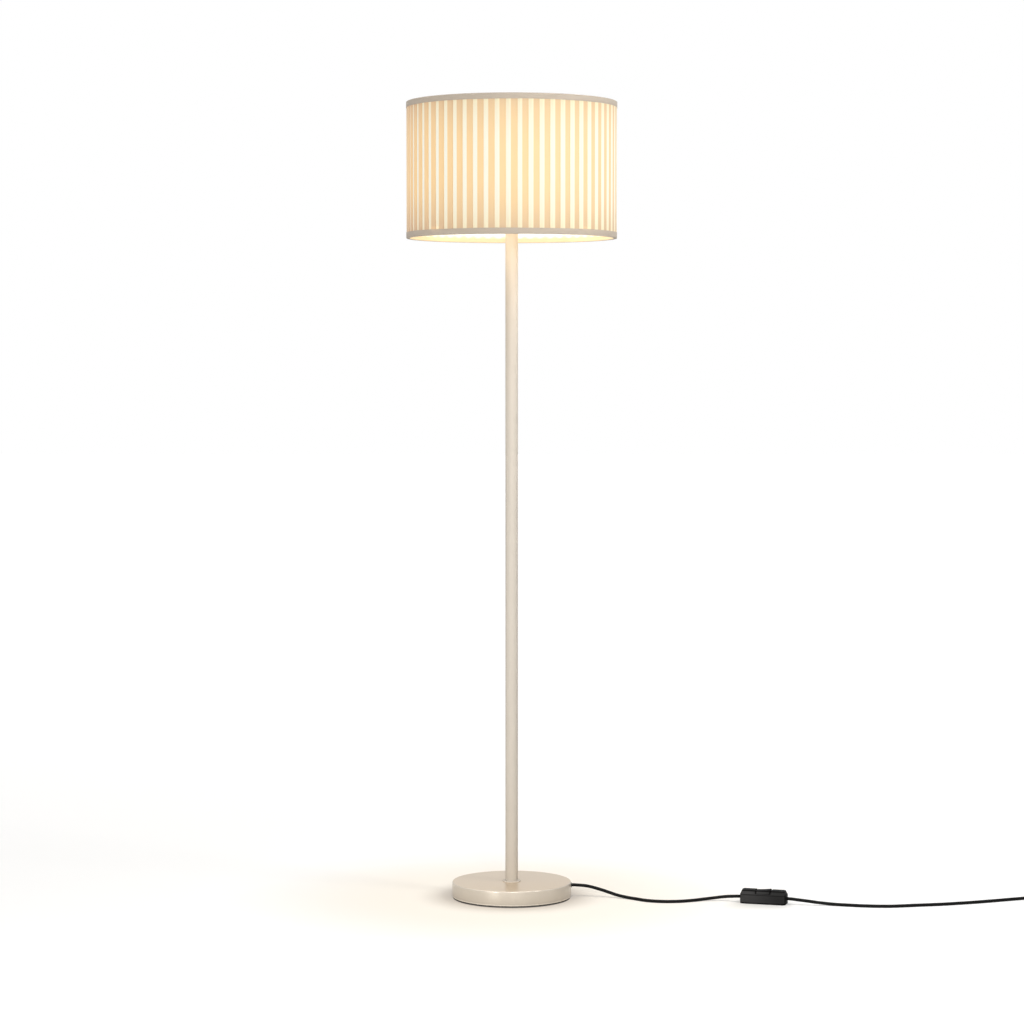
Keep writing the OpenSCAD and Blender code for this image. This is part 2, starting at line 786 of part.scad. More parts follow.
// Band round both layers of the coil, at its far side
module coil_tie() {
    half = coil_turns / 2;
    from_half = abs(round(half - 0.5) + 0.5 - half);
    r_out = coil_r - 0.5 * coil_step + cord_r + running;
    r_in = coil_r - coil_step * (half - from_half) - cord_r - running;
    top = coil_z + coil_rise + cord_r + running;
    soft = 1.5;
    color(black) translate([coil_at[0] - tie_w / 2, coil_at[1], 0]) rotate([90, 0, 90]) linear_extrude(tie_w)
        difference() {
            polygon([
                [r_in - tie_t + soft, 0], [r_out + tie_t - soft, 0], [r_out + tie_t, soft],
                [r_out + tie_t, top + tie_t - soft], [r_out + tie_t - soft, top + tie_t],
                [r_in - tie_t + soft, top + tie_t], [r_in - tie_t, top + tie_t - soft], [r_in - tie_t, soft]
            ]);
            polygon([
                [r_in + soft, tie_t], [r_out - soft, tie_t], [r_out, tie_t + soft],
                [r_out, top - soft], [r_out - soft, top], [r_in + soft, top], [r_in, top - soft],
                [r_in, tie_t + soft]
            ]);
        }
}

// SWITCH, drawn along X with its middle at the origin

module place_switch() {
    translate([switch_at[0], switch_at[1], 0]) rotate([0, 0, switch_yaw]) children();
}

// Outer form, or the hollow when it is drawn smaller by t
module switch_form(t) {
    hull() {
        slab(switch_len - 2 * t, switch_w - 2 * t, switch_r - t / 2, t, slope_z - t / 2);
        slab(switch_len - 2 * t - 0.9 * slope_in, switch_w - 2 * t - 2 * slope_in, switch_r - t / 2 - 2,
            switch_h - t - 0.2, switch_h - t);
    }
}
module cord_mouths() {
    translate([-switch_len, 0, switch_split]) rotate([0, 90, 0])
        cylinder(h = 2 * switch_len, r = cord_r + fitted);
}

// Posts that the two screws draw together
module posts() {
    for (x = [-1, 1])
        translate([x * screw_x, x * screw_y, 0]) cylinder(h = switch_h, r = 3.2, $fn = 24);
}
module screw_holes(r) {
    for (x = [-1, 1])
        translate([x * screw_x, x * screw_y, -1]) cylinder(h = slope_z - 1, r = r, $fn = 24);
}

// Lower shell, open above
module switch_base() {
    color(black) place_switch() difference() {
        switch_form(0);
        difference() {
            switch_form(switch_t);
            posts();
        }
        translate([-switch_len, -switch_w, switch_split]) cube([2 * switch_len, 2 * switch_w, switch_h]);
        cord_mouths();
        screw_holes(1.5);
        for (x = [-1, 1])
            translate([x * screw_x, x * screw_y, -1]) cylinder(h = 4.4, r = 2.6, $fn = 24);
    }
}

// Upper shell. Its window runs across the top and both slopes, and its sides hold the rocker's pins
module switch_cover() {
    hole_l = rocker_len + 2.4;
    hole_w = rocker_w + 2 * rocker_gap;
    rib = 1.5;
    collar_z = rocker_z - 2.5;
    color(black) place_switch() difference() {
        switch_form(0);
        difference() {
            switch_form(switch_t);
            posts();
            translate([-hole_l / 2 - rib, -hole_w / 2 - rib, collar_z])
                cube([hole_l + 2 * rib, hole_w + 2 * rib, switch_h]);
        }
        translate([-switch_len, -switch_w, -switch_h])
            cube([2 * switch_len, 2 * switch_w, switch_h + switch_split]);
        translate([-hole_l / 2, -hole_w / 2, collar_z - 1]) cube([hole_l, hole_w, switch_h]);
        translate([0, 0, rocker_z]) rotate([90, 0, 0])
            cylinder(h = hole_w + 1.6, r = axle_r + fitted, center = true, $fn = 24);
        cord_mouths();
        screw_holes(1.2);
    }
}

// Hollow rocker, as wide as the cover and sloped like it, at rest tipped up on its far side: the lamp is on
module switch_rocker() {
    l = rocker_len / 2;
    w = rocker_w / 2;
    deck = switch_h - rocker_z;
    steep = (switch_h - 0.2 - slope_z) / slope_in;
    side = slope_z + rocker_side * steep - rocker_z;
    over = 2;
    lid = switch_w / 2 - slope_in - (over + 0.2) / steep;
    ear = 1.8;
    deep = 9;
    color(black) place_switch() translate([0, 0, rocker_z]) rotate([0, -rocker_tip / 2, 0]) {
        difference() {
            intersection() {
                rotate([90, 0, 0]) linear_extrude(rocker_w, center = true) polygon([
                    [-l, deck - 0.6], [-l + 0.6, deck], [-0.9 * l, deck + 0.2], [0, deck - 0.3],
                    [0.9 * l, deck + 0.2], [l - 0.6, deck], [l, deck - 0.6], [l - 0.4, side - 2],
                    [4, -2.6], [-4, -2.6], [-l + 0.4, side - 2]
                ]);
                rotate([90, 0, 90]) linear_extrude(rocker_len + 2, center = true) polygon([
                    [-w, -deep], [w, -deep], [w, side], [lid, deck + over], [-lid, deck + over], [-w, side]
                ]);
            }
            translate([-l + ear, -w + ear, -deep])
                cube([rocker_len - 2 * ear, rocker_w - 2 * ear, deep + side - 1.2]);
        }
        rotate([90, 0, 0]) cylinder(h = rocker_w + 2 * rocker_gap + 1, r = axle_r, center = true, $fn = 32);
    }
}

// Fixed contact bridge and two blades in the lower shell
module switch_contacts() {
    foot = switch_t + 0.25;
    color(brass) place_switch() for (y = [-1, 1])
        translate([0, y * 8, 0])
            strip([[-13, foot], [-6, foot], [-4, foot + 3], [4, foot + 8], [9, foot + 8]], 0.5, 4);
}

// Two screws, sunk in the underside
module switch_screws() {
    color(steel) place_switch() for (x = [-1, 1])
        translate([x * screw_x, x * screw_y, 0]) {
            translate([0, 0, 1.2]) cylinder(h = 2.2, r = 2.5, $fn = 32);
            translate([0, 0, 3.3]) cylinder(h = switch_split, r = 1.1, $fn = 32);
        }
}

// PLUG, drawn along Y with the cord's face at the origin

module place_plug() {
    translate([plug_at[0], plug_at[1], tail_z]) children();
}

// Moulded body with a ribbed relief, pointed grip and the sleeves of the pins
module plug_body() {
    r0 = cord_r + 0.9;
    r1 = plug_t / 2 - 1;
    ribs = 4;
    rib = relief_len / (2 * ribs + 1);
    relief = [
        for (i = [0 : ribs - 1])
            let(r = r0 + (r1 - r0) * i / ribs)
            each [
                [r, 2 * i * rib], [r + 0.4, (2 * i + 1) * rib],
                [r - 0.6, (2 * i + 1) * rib], [r - 0.6, (2 * i + 2) * rib]
            ]
    ];
    color(black) place_plug() {
        rotate([-90, 0, 0]) rotate_extrude($fn = 32)
            polygon(concat(
                [[0, 0]], relief, [[r1, 2 * ribs * rib], [r1, relief_len + 1], [0, relief_len + 1]]));
        translate([0, relief_len, 0]) hull() {
            translate([-7, 0, -r1]) cube([14, 1, 2 * r1]);
            translate([-plug_w / 2 + 1.5, plug_len - 8, -plug_t / 2]) cube([plug_w - 3, 7, plug_t]);
            translate([-plug_w / 2, plug_len - 7, -plug_t / 2 + 2]) cube([plug_w, 7, plug_t - 4]);
        }
        for (x = [-1, 1])
            translate([x * pin_gap / 2, relief_len + plug_len - 0.5, 0]) rotate([-90, 0, 0]) difference() {
                cylinder(h = pin_len / 2 + 0.5, r = pin_d / 2 - 0.1, $fn = 32);
                translate([0, 0, 0.5]) cylinder(h = pin_len, r = 1.3, $fn = 32);
            }
    }
}

// Two round pins with domed tips, carried in the sleeves
module plug_pins() {
    tip = pin_d / 2;
    outline = concat(
        [[0, 0.1], [1.2, 0.1], [1.2, pin_len / 2 + 0.1], [tip, pin_len / 2 + 0.1]],
        arc([tip - 1.2, pin_len - 1.2], 1.2, 0, 90, 4), [[0, pin_len]]);
    color(brass) place_plug() for (x = [-1, 1])
        translate([x * pin_gap / 2, relief_len + plug_len, 0])
            rotate([-90, 0, 0]) rotate_extrude($fn = 32) polygon(outline);
}

felt_pad();
base_plate();
base_weight();
base_cover();
base_washer();
base_nut();
base_nipple();
foot_collar();
foot_insert();
pole_tube();
top_insert();
top_nipple();
holder_cap();
holder_body();
terminal_block();
terminal_screws();
thread_sleeve();
centre_contact();
cord_bush();
inner_cord();
lead_wires();
fitter_spider();
lower_wire_ring();
upper_wire_ring();
shade_lining();
pleated_cloth();
lower_tape();
upper_tape();
shade_ring();
bulb_globe();
bulb_housing();
bulb_cap();
bulb_insulator();
bulb_contact();
cord_to_switch();
switch_base();
switch_cover();
switch_rocker();
switch_contacts();
switch_screws();
cord_to_coil();
cord_coil();
coil_tie();
cord_tail();
plug_body();
plug_pins();
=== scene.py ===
# %% [markdown]
# # A pleated shade floor lamp
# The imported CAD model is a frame: every node already has its real size and place, in metres,
# with +Z up the pole and +X where the lead leaves the base. The cells below dress that frame.
# Each visible part gets a surface that is worked out with numpy and a finish made of nodes.

import bpy
import numpy as np
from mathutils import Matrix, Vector


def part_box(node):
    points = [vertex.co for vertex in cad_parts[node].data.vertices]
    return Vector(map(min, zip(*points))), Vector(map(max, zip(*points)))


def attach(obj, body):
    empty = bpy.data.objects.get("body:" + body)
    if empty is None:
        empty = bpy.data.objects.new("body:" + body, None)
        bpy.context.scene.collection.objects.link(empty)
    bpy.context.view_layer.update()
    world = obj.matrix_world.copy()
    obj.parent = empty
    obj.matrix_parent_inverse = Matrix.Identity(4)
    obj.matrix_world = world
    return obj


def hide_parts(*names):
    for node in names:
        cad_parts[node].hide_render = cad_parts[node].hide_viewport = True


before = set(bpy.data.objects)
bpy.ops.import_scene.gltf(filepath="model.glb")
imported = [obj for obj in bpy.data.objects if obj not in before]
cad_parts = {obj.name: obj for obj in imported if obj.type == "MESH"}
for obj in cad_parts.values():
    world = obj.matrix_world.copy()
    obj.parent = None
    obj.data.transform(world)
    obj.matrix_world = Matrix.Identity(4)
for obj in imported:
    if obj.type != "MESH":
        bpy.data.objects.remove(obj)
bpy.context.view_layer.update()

MM = 0.001
TURN = 2 * np.pi


def low(node):
    """Height of the underside of a CAD node."""
    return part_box(node)[0].z


def high(node):
    """Height of the top of a CAD node."""
    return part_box(node)[1].z


def round_size(node):
    """Radius, underside and top of a round CAD node that is centred on the pole."""
    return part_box(node)[1].x, low(node), high(node)


# %% [markdown]
# ## The camera
# The photograph was taken from about a metre up and more than five metres away, with a long lens
# that looks slightly down. Such a view keeps the pole straight and shows the shade's lower rim
# from below and the base from above.

# %% Camera
PITCH, LENS, CAMERA_AT = 0.0504, 100.24, (0.0006, -5.434, 1.0133)
camera = bpy.data.objects.new("camera", bpy.data.cameras.new("camera"))
camera.data.sensor_width, camera.data.lens, camera.data.clip_end = 36, LENS, 60
camera.location, camera.rotation_euler = CAMERA_AT, (np.pi / 2 - PITCH, 0, 0)
bpy.context.scene.collection.objects.link(camera)
bpy.context.scene.camera = camera
print("lens", LENS, "mm at", CAMERA_AT)

# %% [markdown]
# ## Surfaces from grids
# Nearly every part of the lamp is a grid of points: rows along the shape, columns around it.
# One helper turns a grid into a mesh, closes it where it has to be closed, and turns its faces
# outwards. The others only work out the points.


# %% From a grid of points to a mesh
def skin(name, grid, along=False, ends=(None, None), uv=None, crease=38):
    """Mesh of a grid. A face joins each point to its neighbours in the row and in the column. Each
    row closes on itself, along says that each column does too, and ends gives the points in which
    the first and last rows meet. The faces of a closed form are turned outwards: its volume is the
    sum over its faces of one sixth of the triple product of three corners."""
    rows, columns = grid.shape[:2]
    points = grid.reshape(-1, 3)
    i, j = np.meshgrid(np.arange(rows if along else rows - 1), np.arange(columns), indexing="ij")
    corner_i, corner_j = np.stack([i, i, i + 1, i + 1], -1), np.stack([j, j + 1, j + 1, j], -1)
    quads = ((corner_i % rows) * columns + corner_j % columns).reshape(-1, 4)
    uvs = None if uv is None else uv[corner_i, corner_j].reshape(-1, 2)
    fans = []
    for row, end in zip((0, rows - 1), ends):
        if end is not None:
            ring = row * columns + np.arange(columns)
            pair = (np.roll(ring, -1), ring) if row == 0 else (ring, np.roll(ring, -1))
            fans.append(np.stack([np.full(columns, len(points)), *pair], -1))
            points = np.vstack([points, end])
    triangles = np.vstack(fans) if fans else np.zeros((0, 3), int)
    if along or len(fans) == 2:
        solid = np.vstack([quads[:, [0, 1, 2]], quads[:, [0, 2, 3]], triangles])
        a, b, c = (points[solid[:, k]] for k in range(3))
        if np.einsum("ij,ij->i", a, np.cross(b, c)).sum() <= 0:
            quads, triangles = quads[:, ::-1], triangles[:, ::-1]
            uvs = None if uv is None else uvs.reshape(-1, 4, 2)[:, ::-1].reshape(-1, 2)
    corners = np.concatenate([quads.ravel(), triangles.ravel()]).astype(np.int32)
    sizes = np.array([4] * len(quads) + [3] * len(triangles), np.int32)
    mesh = bpy.data.meshes.new(name)
    mesh.vertices.add(len(points))
    mesh.vertices.foreach_set("co", points.astype(np.float32).ravel())
    mesh.loops.add(len(corners))
    mesh.loops.foreach_set("vertex_index", corners)
    mesh.polygons.add(len(sizes))
    mesh.polygons.foreach_set("loop_start", np.concatenate([[0], np.cumsum(sizes)[:-1]]).astype(np.int32))
    mesh.polygons.foreach_set("loop_total", sizes)
    mesh.update(calc_edges=True)
    if uv is not None:
        flat = np.zeros((len(corners), 2), np.float32)
        flat[: len(uvs)] = uvs
        mesh.uv_layers.new(name="surface").data.foreach_set("uv", flat.ravel())
    mesh.validate()
    mesh.polygons.foreach_set("use_smooth", np.ones(len(mesh.polygons), bool))
    mesh.set_sharp_from_angle(angle=np.radians(crease))
    piece = bpy.data.objects.new(name, mesh)
    bpy.context.scene.collection.objects.link(piece)
    return piece


# %% Profiles, turned forms and tubes
def bearings(columns):
    """Evenly spread angles of one turn."""
    return np.arange(columns) / columns * TURN


def about_pole(radius, height, angle):
    """Points at (radius cos angle, radius sin angle, height)."""
    return np.stack(np.broadcast_arrays(radius * np.cos(angle), radius * np.sin(angle), height), -1)


def way_along(path):
    """Length of a path up to each of its points: the running sum of its steps."""
    return np.concatenate([[0], np.cumsum(np.linalg.norm(np.diff(path, axis=0), axis=1))])


def fillet(corners, steps=4, closed=True):
    """Outline with rounded corners, from (x, y, radius) corners. Each corner gives way to an arc
    that starts and ends at radius / tan(half its angle) from it."""
    points = np.array([c[:2] for c in corners], float)
    count, made = len(points), []
    for k, (x, y, radius) in enumerate(corners):
        if radius <= 0 or (not closed and k in (0, count - 1)):
            made.append(points[k][None])
            continue
        back, on = points[k - 1] - points[k], points[(k + 1) % count] - points[k]
        back, on = back / np.linalg.norm(back), on / np.linalg.norm(on)
        half = np.arccos(np.clip(back @ on, -1, 1)) / 2
        middle = points[k] + (back + on) / np.linalg.norm(back + on) * radius / np.sin(half)
        start, end = (points[k] + v * radius / np.tan(half) - middle for v in (back, on))
        sweep, t = np.pi - 2 * half, np.linspace(0, 1, steps + 1)[:, None]
        made.append(middle + (np.sin((1 - t) * sweep) * start + np.sin(t * sweep) * end) / np.sin(sweep))
    return np.vstack(made)


def turned(name, profile, columns=96):
    """Turned form: each (radius, height) of the profile runs once round the pole's axis. A profile
    that starts or ends on the axis is closed there in one point, and any other closes on itself."""
    profile = np.asarray(profile, float)
    on_axis = [profile[0, 0] < 1e-9, profile[-1, 0] < 1e-9]
    ends = [np.array([0, 0, p[1]]) if on else None for on, p in zip(on_axis, (profile[0], profile[-1]))]
    ring = profile[int(on_axis[0]) : len(profile) - int(on_axis[1])]
    grid = about_pole(ring[:, :1], ring[:, 1:], bearings(columns))
    return skin(name, grid, along=not any(on_axis), ends=ends)


def heading(path):
    """Unit direction of a path at each point: from the point before to the point after."""
    ahead = np.gradient(path, axis=0)
    return ahead / np.linalg.norm(ahead, axis=1, keepdims=True)


def tube_grid(path, radius, sides, up=(0, 0, 1)):
    """Rings round a path. Each ring lies in the plane square to the heading, spanned by the
    sideways direction, heading x up, and by sideways x heading."""
    ahead = heading(path)
    side = np.cross(ahead, up)
    side /= np.linalg.norm(side, axis=1, keepdims=True)
    above = np.cross(side, ahead)
    angle = bearings(sides)[None, :, None]
    radius = np.broadcast_to(radius, len(path))[:, None, None]
    return path[:, None] + radius * (np.cos(angle) * side[:, None] + np.sin(angle) * above[:, None])


def tube(name, path, radius, sides=16, up=(0, 0, 1)):
    """Closed tube along a path. Its uv map holds the share of a turn and the way along, in metres."""
    path = np.asarray(path, float)
    uv = np.stack(np.meshgrid(way_along(path), np.linspace(0, 1, sides + 1), indexing="ij")[::-1], -1)
    return skin(name, tube_grid(path, radius, sides, up), ends=(path[0], path[-1]), uv=uv)


def ride(piece, body, slot, *nodes):
    """Hangs a piece from the empty of the body that carries it, and hides the nodes it stands for. The slot
    is not used.
    """
    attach(piece, body)
    if nodes:
        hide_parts(*nodes)
    return piece


print("grid helpers ready")

# %% [markdown]
# ## The lead
# A round mains lead of 6.2 mm leaves the base through a grommet, sinks to the floor, runs through
# the rocker switch and on past the edge of the view. About a metre of it is wound up there beside
# the plug, as one puts a lead away. The switch and the coil end each stretch, so the two stretches
# follow the same points as the CAD's solids. A smooth curve through few points does what a stiff
# lead does by itself: it spreads its bends.

# %% The routes of the lead
LEAD_MM = 6.2
LEAD, FLOOR = LEAD_MM * MM, LEAD_MM / 2
SWITCH_AT, SWITCH_YAW, SWITCH_LEN, SWITCH_SPLIT = np.array([478.5, -69.5]), np.radians(-16), 88, 10.5
COIL_AT, COIL_R, COIL_TURNS, COIL_STEP = np.array([1050, 22]), 42, 4.25, 6.75
TIE_GAP = FLOOR + 0.6
COIL_Z, COIL_RISE = TIE_GAP + 0.05, LEAD_MM + 0.55
PLUG_AT, PLUG_Z = COIL_AT + [COIL_R, 52], 6.9


def smooth(points, steps):
    """Smooth curve through the points, kept on the floor. Between two points runs the cubic whose
    slope at each is half the step between that point's neighbours. The end points count twice."""
    points = np.asarray(points, float)
    padded = np.vstack([points[:1], points, points[-1:]])
    a, b, c, d = (padded[k : k + len(points) - 1, None] for k in range(4))
    t = (np.arange(steps) / steps)[None, :, None]
    curve = b + t / 2 * (c - a + t * (2 * a - 5 * b + 4 * c - d + t * (3 * b - a - 3 * c + d)))
    curve = np.vstack([curve.reshape(-1, 3), points[-1:]])
    curve[:, 2] = np.maximum(curve[:, 2], FLOOR)
    return curve


def switch_point(side, out):
    """Point on the lead's line, out from one end of the switch."""
    x = side * (SWITCH_LEN / 2 + out)
    return [SWITCH_AT[0] + x * np.cos(SWITCH_YAW), SWITCH_AT[1] + x * np.sin(SWITCH_YAW), SWITCH_SPLIT]


def coil_path(per_turn=40):
    """The coil: the radius shrinks by a step each turn to the middle turn, where the lead climbs
    by one layer, and grows again on top. A straight piece as long as the lead is thick leads in
    and out."""
    s = np.linspace(0, COIL_TURNS, round(COIL_TURNS * per_turn) + 1)
    half = COIL_TURNS / 2
    climb = np.clip((s - half) * 2 + 0.5, 0, 1)
    r = COIL_R - COIL_STEP * (half - np.abs(s - half))
    a = TURN * s - np.pi / 2
    z = COIL_Z + COIL_RISE * (1 - np.cos(np.pi * climb)) / 2
    turns = np.stack([COIL_AT[0] + r * np.cos(a), COIL_AT[1] + r * np.sin(a), z], -1)
    return np.vstack([turns[0] - [LEAD_MM, 0, 0], turns, turns[-1] + [0, LEAD_MM, 0]])


wound = coil_path()
to_switch = smooth(
    [[115, 0, 22], [123, 0, 22], [147, -1, 19.8], [175, -7, 13], [204, -19, 5.4], [230, -37, FLOOR],
     [257, -60, FLOOR], [287, -70, FLOOR], [319, -68, FLOOR], [348, -57, 3.3], [377, -46, 4.6],
     [407, -47, 8.2], switch_point(-1, 7), switch_point(-1, 0)], 8)
to_coil = smooth(
    [switch_point(1, 0), switch_point(1, 7), [556, -91, 8.2], [584, -96, 5.2], [614, -101, 3.2],
     [662, -114, FLOOR], [710, -118, FLOOR], [758, -109, FLOOR], [822, -95, FLOOR],
     [886, -74, FLOOR], [950, -48, FLOOR], [998, -29, FLOOR], [1029, -21, 3.5], wound[0]], 8)
to_plug = smooth(
    [wound[-1], [PLUG_AT[0], COIL_AT[1] + 28, 8.8], [PLUG_AT[0], PLUG_AT[1] - LEAD_MM, PLUG_Z],
     [PLUG_AT[0], PLUG_AT[1], PLUG_Z]], 8)
first_run = to_switch * MM
second_run = np.vstack([to_coil[:-1], wound[:-1], to_plug]) * MM
lead_to_switch = ride(tube("lead_to_switch", first_run, LEAD / 2), "stand", "black_cord", "cord_to_switch")
lead_to_plug = ride(tube("lead_to_plug", second_run, LEAD / 2, 14), "stand", "black_cord",
                    "cord_to_coil", "cord_coil", "cord_tail")
print("lead", [round(float(way_along(run)[-1]), 3) for run in (first_run, second_run)], "m long")

# %% [markdown]
# ## The switch on the lead
# Two black shells meet at the lead's middle. The CAD's upper shell is kept, since its window cuts
# through the top and both slopes. The lower one is a loft of rounded rectangles with the same
# number of points, and the rocker a loft along its length: its section has the slopes of the
# shell, and its top dips towards the middle.


# %% Rounded rectangles and the lower shell
def rounded_rectangle(length, width, radius, height, steps=6):
    """Loop of four quarter circles whose centres are the corners of a smaller rectangle."""
    turn = np.linspace(0, np.pi / 2, steps + 1)
    arcs = [
        np.stack([x * (length / 2 - radius) + radius * np.cos(turn + start),
                  y * (width / 2 - radius) + radius * np.sin(turn + start)], -1)
        for x, y, start in ((1, 1, 0), (-1, 1, np.pi / 2), (-1, -1, np.pi), (1, -1, 1.5 * np.pi))
    ]
    flat = np.vstack(arcs)
    return np.column_stack([flat, np.full(len(flat), height)])


def at_switch(points):
    """Turns points from the switch's own axes, in mm, to its place on the floor, in metres."""
    c, s = np.cos(SWITCH_YAW), np.sin(SWITCH_YAW)
    turned_points = points @ np.array([[c, s, 0], [-s, c, 0], [0, 0, 1]])
    return (turned_points + [*SWITCH_AT, 0]) * MM


def lofted(name, loops, tips, place):
    """Loft through loops with the same number of points, closed in a point at each end. The place
    function takes points from the loops' own axes to the lamp."""
    ends = [place(np.array([tip], float))[0] for tip in tips]
    return skin(name, np.stack([place(loop) for loop in loops]), ends=ends)


LOWER_SHELL = [
    (84.4, 29.4, 5.2, 1.8), (84.4, 29.4, 5.2, 10.45), (87.5, 32.5, 6.8, 10.45), (88, 33, 7, 10.15),
    (88, 33, 7, 1.2), (87.6, 32.6, 6.8, 0.5), (86.4, 31.4, 6.4, 0.02), (80, 25, 5, 0.0),
]
lower_shell = lofted("switch_lower_shell", [rounded_rectangle(*loop) for loop in LOWER_SHELL],
                     [(0, 0, 1.8), (0, 0, 0)], at_switch)
ride(lower_shell, "stand", "black_plastic", "switch_base")
print("lower shell", len(lower_shell.data.polygons), "faces")

# %% The rocker
AXLE_Z, ROCKER_TIP = SWITCH_SPLIT + 4, np.radians(9)
ROCKER_L, ROCKER_W, SLOPE_Z, SLOPE_IN, SWITCH_W, SWITCH_H = 14, 14.1, 17.5, 7, 33, 25.5
DECK = SWITCH_H - AXLE_Z
STEEP = (SWITCH_H - 0.2 - SLOPE_Z) / SLOPE_IN
SIDE = SLOPE_Z + (SWITCH_W / 2 - ROCKER_W) * STEEP - AXLE_Z


def at_rocker(points):
    """Tips the rocker to its resting side, by half its travel, and lifts it to its axis."""
    c, s = np.cos(ROCKER_TIP / 2), np.sin(ROCKER_TIP / 2)
    return at_switch(points @ np.array([[c, 0, s], [0, 1, 0], [-s, 0, c]]) + [0, 0, AXLE_Z])


def rocker_section(x, top, foot, inset):
    """Section of the rocker at x: upright sides, slopes and a flat top at the given height. The
    slope's half width falls by one part for each STEEP parts of height."""
    w, crown = ROCKER_W - inset, ROCKER_W - (top - SIDE) / STEEP - inset
    side = SIDE - inset
    corners = [(w, foot, 0.4), (w, side, 0.5), (crown, top - inset, 0.8), (-crown, top - inset, 0.8),
               (-w, side, 0.5), (-w, foot, 0.4)]
    return np.insert(fillet(corners, 4), 0, x, axis=1)


stations = [(-ROCKER_L, 0.6), (-ROCKER_L + 0.2, 0.25), (-ROCKER_L + 0.6, 0)]
stations += [(x, 0) for x in np.linspace(-ROCKER_L + 1, ROCKER_L - 1, 21)]
stations += [(-x, inset) for x, inset in stations[2::-1]]
sections = []
for x, inset in stations:
    dip = np.cos(np.clip(x / (ROCKER_L - 1), -1, 1) * np.pi / 2)
    keel = np.clip((ROCKER_L - 0.4 - abs(x)) / (ROCKER_L - 4.4), 0, 1)
    sections.append(rocker_section(x, DECK + 0.2 - 0.5 * dip, SIDE - 2 - (SIDE + 0.6) * keel, inset))
rocker = ride(lofted("rocker_key", sections, [(-ROCKER_L, 0, DECK - 4), (ROCKER_L, 0, DECK - 4)], at_rocker),
              "rocker", "black_plastic", "switch_rocker")
print("rocker", len(rocker.data.polygons), "faces")


# %% The rocker's axle
def turned_along_y(name, profile, x, place, columns=28):
    """Turned form whose axis points along y at the given x, from (radius, distance) pairs."""
    profile = np.asarray(profile, float)
    a = bearings(columns)
    r, y = profile[1:-1, 0, None], profile[1:-1, 1, None]
    grid = np.stack([x + r * np.cos(a), np.broadcast_to(y, (len(y), columns)), r * np.sin(a)], -1)
    return lofted(name, grid, [(x, profile[0, 1], 0), (x, profile[-1, 1], 0)], place)


axle_profile = [(0, -15.6), (1.2, -15.6), (1.5, -15.3), (1.5, 15.3), (1.2, 15.6), (0, 15.6)]
axle = ride(turned_along_y("rocker_axle", axle_profile, 0, at_rocker, 20), "rocker", "black_plastic")
print("axle", len(axle.data.polygons), "faces")

# %% [markdown]
# ## The plug and the tie of the coil
# The plug is one moulding: a ribbed relief round the lead, a flat grip, and two sleeves with round
# pins. Its body is again a loft, here of superellipses, curves between an ellipse and a rectangle.


# %% Plug body
def at_plug(points):
    """Moves points from the plug's own axes, in mm, to its place behind the coil, in metres."""
    return (points + [*PLUG_AT, PLUG_Z]) * MM


def superellipse(half_width, half_height, power, y, columns=56):
    """Loop where |x / a|^p + |z / b|^p = 1: cosine and sine raised to 2 / p with their signs."""
    a = bearings(columns)
    c, s = np.cos(a), np.sin(a)
    x = half_width * np.sign(c) * np.abs(c) ** (2 / power)
    z = half_height * np.sign(s) * np.abs(s) ** (2 / power)
    return np.column_stack([x, np.full(columns, float(y)), z])


RIBS, RIB_PITCH = 5, 4.1
RIB = [(0, 0), (0.25, 0.5), (0.25, 1.9), (0, 2.3), (-0.5, 2.6), (-0.5, 3.8)]
sections = [(3.7, 3.7, 2, 0), (4.0, 4.0, 2, 0.3)]
for rib in range(RIBS):
    thick = 4.0 + 1.7 * rib / RIBS
    sections += [(thick + more, thick + more, 2, 0.5 + rib * RIB_PITCH + on) for more, on in RIB]
sections += [(6.2, 5.6, 2.1, 21), (7.6, 5.8, 2.4, 22.5), (9.4, 6.1, 2.8, 25), (12.2, 6.5, 3.2, 29),
             (15.0, 6.8, 3.8, 34), (16.8, 6.9, 4.4, 38.5), (17.4, 6.9, 5, 42), (17.5, 6.9, 5, 47.6),
             (17.3, 6.7, 5, 48.5), (16.7, 6.2, 4.6, 49)]
plug_body = lofted("plug_body_moulded", [superellipse(*loop) for loop in sections],
                   [(0, 0, 0), (0, 49, 0)], at_plug)
ride(plug_body, "stand", "black_plastic", "plug_body")
print("plug", len(plug_body.data.polygons), "faces")

# %% Pins, sleeves and tie
plug_pieces = [plug_body]
sleeve_profile = [(0, 48.4), (1.9, 48.4), (1.9, 58.2), (1.8, 58.5), (0, 58.5)]
pin_profile = fillet([(0, 58.3, 0), (2, 58.3, 0), (2, 68, 1.7), (0, 68, 0)], 5, closed=False)
for side, x in (("left", -9.3), ("right", 9.3)):
    sleeve = turned_along_y("pin_sleeve_" + side, sleeve_profile, x, at_plug)
    pin = turned_along_y("plug_pin_" + side, pin_profile, x, at_plug)
    ride(sleeve, "stand", "black_plastic")
    ride(pin, "stand", "brass")
    plug_pieces += [sleeve, pin]
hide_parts("plug_pins")

